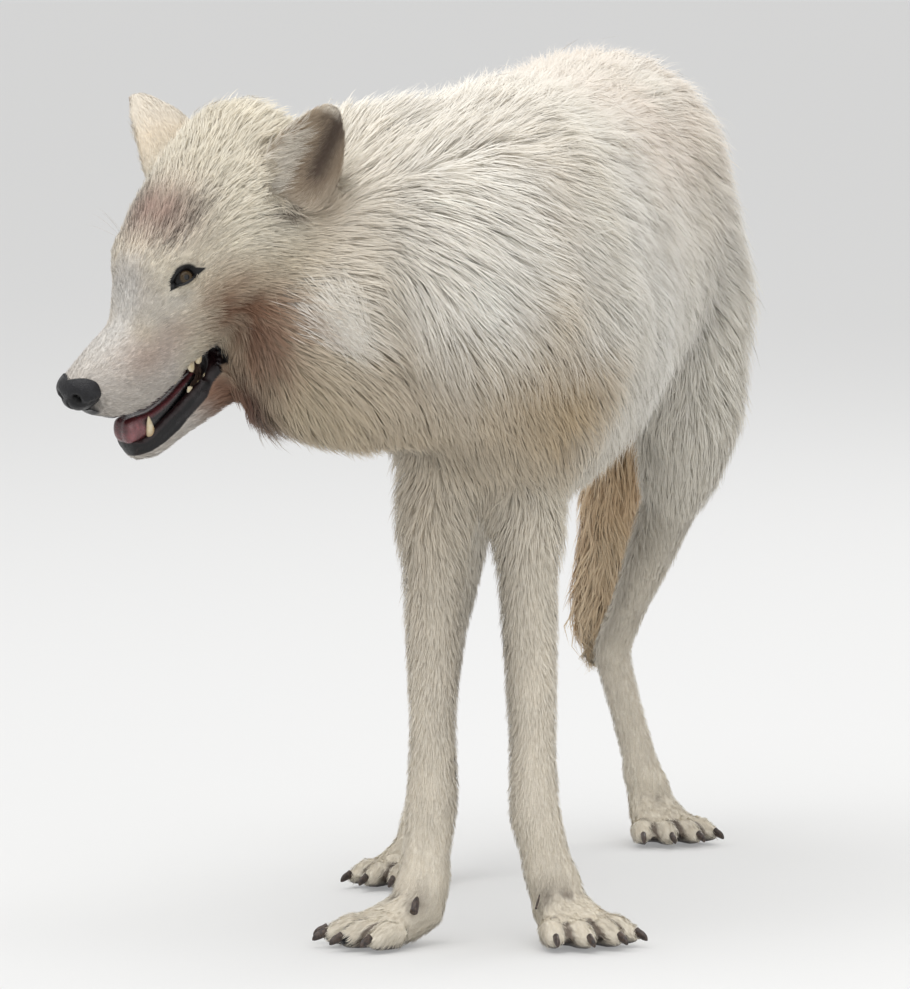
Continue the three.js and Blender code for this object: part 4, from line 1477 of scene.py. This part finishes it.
UPPER_TEETH = [
    ((1.9, 30, -2), (1.9, 31, -8), 2.6, 3.4, 0.6),
    ((5.5, 31, -2), (5.6, 32, -8.5), 2.8, 3.6, 0.6),
    ((9, 34, -3), (9.3, 35, -10), 3.4, 4.0, 0.7),
    ((14.5, 46, 0), (15, 48, -14), 9.0, 6.4, 1.2),
    ((18, 70, -11), (18, 71, -19), 6.5, 4.0, 1.0),
    ((20, 88, -11), (20, 89, -18), 9.0, 4.4, 1.0),
    ((23, 106, -7), (23, 107, -16), 11.0, 5.0, 1.0),
    ((24, 128, -4), (24, 128, -15), 10.0, 5.0, 0.9),
    ((25, 138, -2), (25, 137, -11), 9.0, 5.6, 0.7),
    ((26, 149, 4), (26, 148, -4), 9.0, 7.0, 0.6),
]


def make_teeth(name, table, matrix, material):
    forms, colours = [], []
    for base, tip, wide, thick, point in table:
        for side in SIDES:
            mirror = np.array([side, 1, 1])
            rings, colour = tooth(base * mirror, tip * mirror, wide, thick, point)
            forms.append(apply(matrix, rings))
            colours.append(colour)
    place(name, lofted(name, forms, colours), material, "face_coat")


TONGUE_STATIONS = [  # y, half width, height of the top and of the underside, in the jaw's frame
    (36.5, 7, 9, 4), (38, 10.5, 14, 1), (41, 12, 19, -2), (46, 13, 24, -5), (52, 13.5, 23, -7),
    (60, 13.5, 18, -8), (70, 14, 11, -8.5), (84, 14, 6, -9), (100, 13.5, 3, -9), (116, 13, 2, -9),
    (130, 9, -1, -8),
]  # fmt: skip
TONGUE_RINGS = 34
TONGUE_POINTS = 28
TONGUE_EDGE = rgb(140, 86, 90)
TONGUE_MIDDLE = rgb(88, 38, 42)
TONGUE_UNDER = rgb(72, 32, 36)
TONGUE_TIP = rgb(126, 70, 74)
GROOVE = 2.6


def make_tongue(material):
    """It lies in the lower jaw and curls up behind the front teeth."""
    y, *stations = between_rings(TONGUE_STATIONS, TONGUE_RINGS)
    half, top, low = (rounded(v, [0.1, 0.2, 0.4, 0.2, 0.1]) for v in stations)
    x, z = squared(round_angles(TONGUE_POINTS), 0.8, 0.75)
    middle, tall = (top + low) / 2, (top - low) / 2
    groove = GROOVE * hump(x, 0, 0.3) * (z > 0.2)
    rings = across_rings(half[:, None] * x, y, middle[:, None] + tall[:, None] * z - groove)
    colour = mix(TONGUE_MIDDLE, TONGUE_EDGE, step(0.6, 1.0, np.abs(x)))
    colour = mix(colour, TONGUE_UNDER, step(-0.1, -0.8, z))
    tip = np.broadcast_to(step(40.5, 37.5, y)[:, None], rings.shape[:2])
    colour = mix(np.broadcast_to(colour[None], rings.shape), TONGUE_TIP, 0.6 * tip)
    black_sides = step(52, 62, y)[:, None] * step(0.75, 0.35, z)
    colour = mix(colour, LIP, black_sides)
    mesh = lofted("tongue_surface", [apply(JAW, rings)], [colour])
    place("tongue_surface", mesh, material, "tongue", "tongue")


NOSE_RINGS = [  # y, half width, half height, height of the middle
    (50, 15, 11, 25), (44, 19.5, 14, 24.5), (38, 22, 16, 23.5), (31, 24, 17.5, 22.5), (24, 24.6, 18, 21.5),
    (17, 23.6, 17.4, 20.8), (11, 21, 15.6, 20.4), (7, 17, 12.6, 20), (4.4, 12, 9, 20), (3.2, 6, 4.6, 20),
]  # fmt: skip
NOSE_PAD_RINGS = 52
NOSE_POINTS = 96
NOSTRIL = ((11.5, 5.5, 20.5), 4.6, 8.5)  # the left one's place, radius and depth
SLIT = [(13, 7, 17), (17, 10, 15.5), (21, 15, 14.5), (24.5, 21, 14)]
SLIT_SIZE = (2.6, 1.7)  # radius and depth
CLEFT = (1.3, 1.8)  # half width and depth
NOSE_CORE = (0, 32, 21)  # what the surface is sunk towards
NOSE_BEHIND = 6  # how far it is sunk behind the bare pad's edge
NOSE_LIGHT = rgb(26, 26, 30)
# the leather's own colour, then painted shade for its recesses and lower half, and darkest painted shade deep
# in the nostrils
NOSE_SHADE = rgb(12, 12, 14)
NOSTRIL_SHADE = rgb(12, 12, 13)


def make_nose(material):
    y, half, tall, middle = (rounded(v, np.full(7, 1 / 7)) for v in between_rings(NOSE_RINGS, NOSE_PAD_RINGS))
    x, z = squared(round_angles(NOSE_POINTS), 0.85, 0.85)
    squeeze = 1 - 0.22 * step(0.1, 1.0, -z)
    rings = across_rings(half[:, None] * x * squeeze, y, middle[:, None] + tall[:, None] * z)
    p = rings.reshape(-1, 3)
    sunk, rim = np.zeros(len(p)), np.zeros(len(p))
    (hole, radius, depth), (slit_radius, slit_depth), (cleft_half, cleft_depth) = NOSTRIL, SLIT_SIZE, CLEFT
    for side in SIDES:
        mirror = np.array([side, 1, 1])
        sunk += depth * near(p, hole * mirror, radius)
        rim += 0.9 * near(p, hole * mirror, radius * 1.7) - 0.9 * near(p, hole * mirror, radius)
        for spot in SLIT:
            sunk += slit_depth * near(p, spot * mirror, slit_radius)
    sunk += cleft_depth * hump(p[:, 0], 0, cleft_half) * step(14, 8, p[:, 1]) * step(26, 20, p[:, 2])
    behind = step(-1.5, 2.5, p[:, 1] - pad_edge(p[:, 0], p[:, 2]))
    moved = p + unit(p - NOSE_CORE) * (rim - sunk - NOSE_BEHIND * behind)[:, None]
    # Painted shade: darker where the surface is sunk and over the lower half of the pad, darkest deep in the
    # nostrils
    colour = mix(np.tile(NOSE_LIGHT, (len(p), 1)), NOSE_SHADE, step(0.6, 3.0, sunk))
    colour = mix(colour, NOSE_SHADE, 0.6 * step(22, 10, p[:, 2]))
    colour = mix(colour, NOSTRIL_SHADE, step(3.0, 7.0, sunk))
    form, colour = (v.reshape(rings.shape) for v in (apply(HEAD, moved), colour))
    place("nose_pad", lofted("nose_pad", [form], [colour]), material, "nose_leather", "nose")


IRIS = rgb(70, 58, 40)
IRIS_RIM = rgb(34, 22, 14)
PUPIL = rgb(6, 6, 7)
EYE_WHITE = rgb(14, 12, 12)  # dark in a wolf
PUPIL_ARC = math.radians(11)
IRIS_MIDDLE = 0.42
IRIS_ARC = math.radians(31)
FRONT_BULGE = 0.9
EYE_POINTS = 96
EYE_RINGS = [(0.5, 42, 52), (46, 179.5, 24)]  # from and to, in degrees off the gaze, and how many


def make_eye(side, node, material):
    """The eyeball, with the clear front's bulge, looking out between the lids. Rings are round its gaze."""
    middle, axes = eye_frame(side)
    gaze = axes[2] + axes[0] * 0.02 - axes[1] * 0.10
    along = unit(np.cross(axes[1], gaze))
    turn = np.stack([along, np.cross(gaze, along), unit(gaze)])
    polar = np.concatenate([np.linspace(*rows) for rows in EYE_RINGS]) * math.pi / 180
    off, a = np.meshgrid(polar, round_angles(EYE_POINTS), indexing="ij")
    radius = EYE_RADIUS + FRONT_BULGE * step(0.62, 0.3, off)
    rings = np.stack([np.cos(a) * np.sin(off), np.sin(a) * np.sin(off), np.cos(off)], 2) * radius[:, :, None]
    streak = (0.5 + 0.5 * np.sin(a * 31 + 2 * np.sin(a * 7))) * step(PUPIL_ARC, IRIS_MIDDLE, off)
    colour = mix(np.broadcast_to(IRIS, rings.shape), IRIS * 1.7, streak * 0.5)
    colour = mix(colour, IRIS_RIM, step(IRIS_MIDDLE, IRIS_ARC, off))
    colour = mix(colour, PUPIL, step(PUPIL_ARC + 0.03, PUPIL_ARC - 0.02, off))
    colour = mix(colour, EYE_WHITE, step(IRIS_ARC, IRIS_ARC + 0.08, off))
    name = node.replace("eye", "eyeball")
    place(name, lofted(name, [apply(HEAD, middle + rings @ turn)], [colour]), material, "eye", node)


CLAW_RINGS = 14
CLAW_POINTS = 14
CLAW_ROOT = -0.45  # how far the horn runs back into the toe, as a share of its length
CLAW_OUT = 0.62  # how much of the solid's length the bare horn has
DEWCLAW_OUT = 0.5  # and how much a dewclaw's has
CLAW_ARCH = 0.0022
CLAW_SLIM = 0.95


def make_claw(node, material):
    """A smooth curved claw within its solid, with its root run back into the toe."""
    co = verts_of(NODES[node].data)
    foot = "foot_" + "_".join(node.split("_")[1:3])
    middle = co.mean(0)
    axis = np.linalg.svd(co - middle, full_matrices=False)[2][0]
    axis = axis if axis @ (middle - centre_of(foot)) > 0 else -axis
    along = (co - middle) @ axis
    t = (along - along.min()) / np.ptp(along)
    across = unit(np.cross(axis, UP))
    root, tip = co[t < 0.3].mean(0), co[t > 0.93].mean(0)
    base = co[t < 0.5] - root
    wide, tall = np.ptp(base @ across) / 2, np.ptp(base @ np.cross(across, axis)) / 2
    s = np.linspace(CLAW_ROOT, 1, CLAW_RINGS)[:, None]
    arch = np.cross(across, axis)
    arch = arch if arch[2] > 0 else -arch
    tip = root + (tip - root) * (DEWCLAW_OUT if "dew" in node else CLAW_OUT)
    centre = root + (tip - root) * s + arch * CLAW_ARCH * (s * (1 - s)).clip(-0.1, 1)
    body = 0.95 * np.maximum(1 - s.clip(0, 1) ** 2.2, 0) ** 0.7 + 0.05
    a = round_angles(CLAW_POINTS)[:, None]
    ring = (np.cos(a) * across * wide + np.sin(a) * arch * tall) * CLAW_SLIM
    rings = centre[:, None] + ring * body[:, None]
    name = f"{node}_horn"
    place(name, lofted(name, [rings], [np.ones_like(rings)]), material, "horn", node)


# ---- Camera, light and floor ----

CAMERA_TURN = math.radians(12)
CAMERA_AWAY = 9.0
CAMERA_HIGH = 1.26
CAMERA_DOWN = math.radians(5.2)
CAMERA_LENS = 339.0
SENSOR = 36.0
LOOKED_AT = Vector((0.0735, -0.3402, 0))  # a point on the floor under the view's middle line
FLOOR_HALF = 60.0
FLOOR_COLOUR = (0.5, 0.5, 0.495, 1)
FLOOR_GLOW = 0.26  # only as it is seen, not on the wolf
SKY_LIGHT = 0.74
LAMPS_AIM = Vector((0, 0, 0.5))
LAMPS = [  # name, place, size and watts of each soft box
    ("key", (-0.8, -2.0, 5.5), 6.0, 225),
    ("fill", (3.0, -4.5, 1.8), 3.4, 45),
    ("rim", (1.5, 4.5, 3.8), 3.0, 60),
]


def make_camera():
    camera = bpy.data.cameras.new("camera")
    camera.sensor_fit = "VERTICAL"
    camera.sensor_height = SENSOR
    camera.lens = CAMERA_LENS
    ob = object_of("camera", camera)
    back = Vector((math.sin(CAMERA_TURN), -math.cos(CAMERA_TURN), 0))
    ob.location = LOOKED_AT + back * CAMERA_AWAY + Vector((0, 0, CAMERA_HIGH))
    ob.rotation_euler = (math.pi / 2 - CAMERA_DOWN, 0, CAMERA_TURN)
    bpy.context.scene.camera = ob


def floor_material():
    """Pale and matt. What the camera sees of it is lit up to near white, and still takes the shadow."""
    floor = Finish("floor", 0.9, Base_Color=FLOOR_COLOUR)
    rays = floor.node("LightPath").outputs
    seen = rays["Is Camera Ray"]
    for kind in ("Is Glossy Ray", "Is Transmission Ray"):
        either = floor.nodes.new("ShaderNodeMath")
        either.operation = "MAXIMUM"
        floor.put(seen, either.inputs[0])
        floor.put(rays[kind], either.inputs[1])
        seen = either.outputs[0]
    floor.shader.inputs["Emission Color"].default_value = (1, 1, 1, 1)
    floor.put(floor.between(seen, 0, 1, 0.0, FLOOR_GLOW), floor.shader.inputs["Emission Strength"])
    return floor.material


def make_stage():
    mesh = bpy.data.meshes.new("floor")
    corners = [(x * FLOOR_HALF, y * FLOOR_HALF, 0) for x, y in ((-1, -1), (1, -1), (1, 1), (-1, 1))]
    mesh.from_pydata(corners, [], [(0, 1, 2, 3)])
    floor = object_of("floor", mesh)
    mesh.materials.append(floor_material())

    world = bpy.data.worlds.new("world")
    world.use_nodes = True
    sky = world.node_tree.nodes["Background"].inputs
    sky["Color"].default_value = (1, 1, 1, 1)
    sky["Strength"].default_value = SKY_LIGHT
    bpy.context.scene.world = world
    for name, at, size, power in LAMPS:
        light = bpy.data.lights.new(name, "AREA")
        light.shape = "SQUARE"
        light.size = size
        light.energy = power
        ob = object_of(name, light)
        ob.location = at
        ob.rotation_euler = (LAMPS_AIM - Vector(at)).to_track_quat("-Z", "Y").to_euler()
    bpy.context.scene.view_settings.view_transform = "Standard"


# ---- The coat ----
# It grows in layers. favour says where a layer's hair is most likely to root.

BODY_HAIR, TAIL_HAIR, FINE_HAIR = 0.0008, 0.0012, 0.0006  # widths of the tufts
WISP, LONG_HAIR = 0.0007, 0.0009
EAR_FRINGE = rgb(234, 228, 216)
THROAT = [((34, 190, -50), 24)]  # places in the head's frame, and radii
NAPE = [((60, 240, 160), 46), ((0, 240, 160), 40)]


def add_coat(name, sets, slot, material):
    """Joins sets of blades into pieces small enough to hand on, from front to back."""

    def joined(field):
        return np.concatenate([getattr(blades, field) for blades in sets])

    root, corners, colour, shading = (joined(field) for field in ("root", "corners", "colour", "shading"))
    spots = unwrapped(root, joined("owner"))
    triangles = len(root) * (corners.shape[1] - 2)
    order = np.argsort(root[:, 1], kind="stable")
    for k, part in enumerate(np.array_split(order, math.ceil(triangles / PIECE_TRIANGLES))):
        mesh = fur_mesh(name, corners[part], colour[part], shading[part], spots[part])
        place(f"{name}_{k + 1}", mesh, material, slot)
    print(name, len(root), "tufts", triangles, "triangles")


def favoured(surface, spots):
    """How much hair to root at each place of the skin: most near some spots of the head's frame."""
    local = folded(apply(INTO_HEAD, surface.co))
    total = np.max([near(local, at, radius) for at, radius in spots], axis=0)
    return np.where(total > 0.1, total, 0) + 1e-9


WHISKER_COLOUR = rgb(210, 204, 196)
# Of the left side: how many, then the root, direction and length, each with what the next whisker adds to it.
WHISKERS = [
    (4, (24, 48, 10), (0, 8, 0), (1.0, 0.9, 0.25), (0, 0.1, 0), 0.022, 0.005),  # three rows on the lip
    (4, (24, 48, 4), (0, 8, 0), (1.0, 0.9, 0.05), (0, 0.1, 0), 0.022, 0.005),
    (4, (24, 48, -2), (0, 8, 0), (1.0, 0.9, -0.15), (0, 0.1, 0), 0.022, 0.005),
    (5, (30, 138, 104), (2, 3, 0), (0.8, -0.3, 0.9), (0, 0.1, 0), 0.042, 0),  # over the eye
    (3, (60, 168, 20), (0, 5, 0), (1.0, 0.5, -0.3), (0, 0, 0), 0.040, 0),  # on the cheek
]


def make_whiskers(surface):
    roots, ways, lengths = [], [], []
    for side in SIDES:
        for count, *row in WHISKERS:
            root, apart, way, turn, long, longer = (np.array(v) for v in row)
            for k in range(count):
                roots.append((root + apart * k) * (side, 1, 1))
                ways.append((way + turn * k) * (side, 1, 1))
                lengths.append(long + longer * k)
    toward = unit(np.array(ways)) @ (np.array(HEAD)[:3, :3] / MM).T
    return whiskers(surface, apply(HEAD, np.array(roots, float)), toward, np.array(lengths), WHISKER_COLOUR)


LOCK_ROOTS = ((112, 220, 28), 20)  # where the pale hair behind the left cheek grows, in the head's frame
LOCK_TIP = (136, 238, -36)
LOCK_SPREAD = 0.009
LOCK_HAIRS = 800
LOCK_LENGTHS = (0.35, 0.95)  # shares of the way to its tip
LOCK_PALE = (0.3, 0.7)  # shares of the way from the skin's colour to white
LOCK_RISE = (0.004, 0.014)  # height over the skin, near its roots and at its tips


def cheek_locks(surface):
    """The long pale hair behind each cheek, drawn together towards a point."""
    local, (spot, size), sets = apply(INTO_HEAD, surface.co), LOCK_ROOTS, []
    for side in SIDES:
        favour = near(local, np.array(spot) * (side, 1, 1), size)
        tri, weights = surface.roots(["head", "neck"], LOCK_HAIRS, favour)
        root = surface.at(surface.co, tri, weights)
        tip = apply(HEAD, np.array([LOCK_TIP]) * (side, 1, 1)) + RNG.normal(0, LOCK_SPREAD, (LOCK_HAIRS, 3))
        reach = RNG.uniform(*LOCK_LENGTHS, LOCK_HAIRS)
        path = [root]
        for share in np.linspace(0, 1, LEVELS)[1:]:
            at, _, normal = surface.nearest(root + (tip - root) * (share * reach)[:, None])
            path.append(at + normal * mix(*LOCK_RISE, share))
        own = surface.at(surface.colour, tri, weights)
        colour = mix(own, WHITE, RNG.uniform(*LOCK_PALE, LOCK_HAIRS)).clip(0, PALEST)
        width = BODY_HAIR * RNG.uniform(*WIDTHS_VARY, LOCK_HAIRS)
        sets.append(Blades(surface, (tri, weights), np.stack(path, 1), colour, width, LONG_BLADE))
    return sets


def along_the_back(surface):
    """Where the hair of the shoulders and the back stands up in wisps."""
    y, z = surface.co[:, 1], surface.co[:, 2]
    ridge = step(0.2, 0.8, surface.normal[:, 2]) * step(0.60, 0.70, z) * step(-0.45, -0.2, y)
    return ridge + 0.06


def in_the_ears(surface):
    """The front edge of each ear's cup, where its hair is longest."""
    head, fringe = apply(INTO_HEAD, surface.co), np.zeros(len(surface.co))
    for node in EARS:
        mine = lies_on(surface.owner, [node])
        share, across, inner, _, _ = ear_places(node, head[mine], surface.normal[mine])
        beside = step(0.1, 0.4, inner) * step(-0.25, -0.6, across)
        fringe[mine] = beside * step(0.05, 0.2, share) * step(0.8, 0.5, share)
    return fringe


def layer(surface, nodes, count, width, guides, locks=None, gathered=None, favour=None, **blades):
    """Tufts that follow guides, which may themselves be gathered into locks."""
    leaders = Guides(surface, nodes, **locks, favour=favour) if locks else None
    paths = Guides(surface, nodes, **guides, favour=favour)
    if leaders:
        paths.gathered(leaders, gathered)
    return tufts(surface, paths, nodes, count, width, favour=favour, **blades)


def make_coat(surface, fur):
    body = ["neck", "trunk"] + UPPERS
    coat = layer(
        surface, body, 163000, BODY_HAIR, guides=dict(count=36000, tousle=0.16, lift=(0.9, 1.1)),
        locks=dict(count=2600, tousle=0.24, lift=(0.95, 1.05)), gathered=(0.0, 0.4),
    )  # fmt: skip
    wisps = layer(
        surface, body, 5000, WISP, guides=dict(count=2500, tousle=0.5, long=1.2, lift=(1.0, 1.35)),
        favour=along_the_back(surface), gather=0.3,
    )  # fmt: skip
    throat = layer(
        surface, body, 1600, BODY_HAIR, guides=dict(count=240, tousle=0.35, long=1.1, lift=(1.2, 1.9)),
        favour=favoured(surface, THROAT), gather=0.6,
    )  # fmt: skip
    add_coat("coat_body", [coat, wisps, throat], "body_coat", fur)

    tail = layer(
        surface, ["tail"], 12000, TAIL_HAIR, guides=dict(count=2200, tousle=0.25, lift=(0.7, 1.2)),
        locks=dict(count=260, tousle=0.25), gathered=(0.2, 0.7),
    )  # fmt: skip
    add_coat("coat_tail", [tail], "tail_coat", fur)

    legs = layer(
        surface, LOWERS, 66000, FINE_HAIR, guides=dict(count=20000, tousle=0.12, lift=(0.5, 0.85)),
        levels=SHORT_BLADE, gather=0.3, shade=0.02,
    )  # fmt: skip
    feet = layer(
        surface, FEET, 28000, FINE_HAIR, guides=dict(count=9000, tousle=0.2, lift=(0.6, 1.0)),
        levels=SHORT_BLADE, gather=0.3,
    )  # fmt: skip
    add_coat("coat_legs", [legs, feet], "leg_coat", fur)

    face = layer(
        surface, FACE, 68000, FINE_HAIR, guides=dict(count=20000, tousle=0.14),
        levels=SHORT_BLADE, gather=0.4, shade=0.08,
    )  # fmt: skip
    ears = layer(
        surface, EARS, 13000, FINE_HAIR, guides=dict(count=4000, tousle=0.18), levels=SHORT_BLADE, gather=0.4
    )
    fringe = layer(
        surface, EARS, 1800, FINE_HAIR, guides=dict(count=300, tousle=0.25, long=1.1, lift=(1.5, 3.5)),
        favour=in_the_ears(surface), levels=SHORT_BLADE, gather=0.3, tint=EAR_FRINGE,
    )  # fmt: skip
    add_coat("coat_face", [face, ears, fringe], "face_coat", fur)

    nape = layer(
        surface, ["head"], 9000, LONG_HAIR, guides=dict(count=3000, tousle=0.2, long=1.05, lift=(0.9, 1.6)),
        locks=dict(count=500, tousle=0.2), gathered=(0.3, 0.8), favour=favoured(surface, NAPE),
    )  # fmt: skip
    add_coat("coat_cheeks", [nape, *cheek_locks(surface)], "face_coat", fur)
    add_coat("whiskers", [make_whiskers(surface)], "face_coat", fur)


# ---- The whole ----

make_camera()
make_stage()
skin_mesh, skin_owner = make_skin()
surface = Surface(skin_mesh, skin_owner)
print("skin", len(surface.co), "vertices", len(surface.tri), "triangles")
paint(skin_mesh, surface.colour)
bare_layer = skin_mesh.attributes.new("Bare", "FLOAT", "POINT")
bare_layer.data.foreach_set("value", surface.bare.astype(np.float32))
place("skin", smooth_shaded(skin_mesh), skin_finish(), "body_coat", *FLESH)
for eye_side, eye_node in zip(SIDES, ("eye_left", "eye_right")):
    make_eye(eye_side, eye_node, eye_finish())
make_nose(nose_finish())
make_tongue(tongue_finish())
ENAMELLED = tooth_finish()
make_teeth("lower_teeth", LOWER_TEETH, JAW, ENAMELLED)
make_teeth("upper_teeth", UPPER_TEETH, HEAD, ENAMELLED)
HORN = claw_finish()
for claw_node in NODES:
    if "claw" in claw_node:
        make_claw(claw_node, HORN)
make_coat(surface, fur_finish())
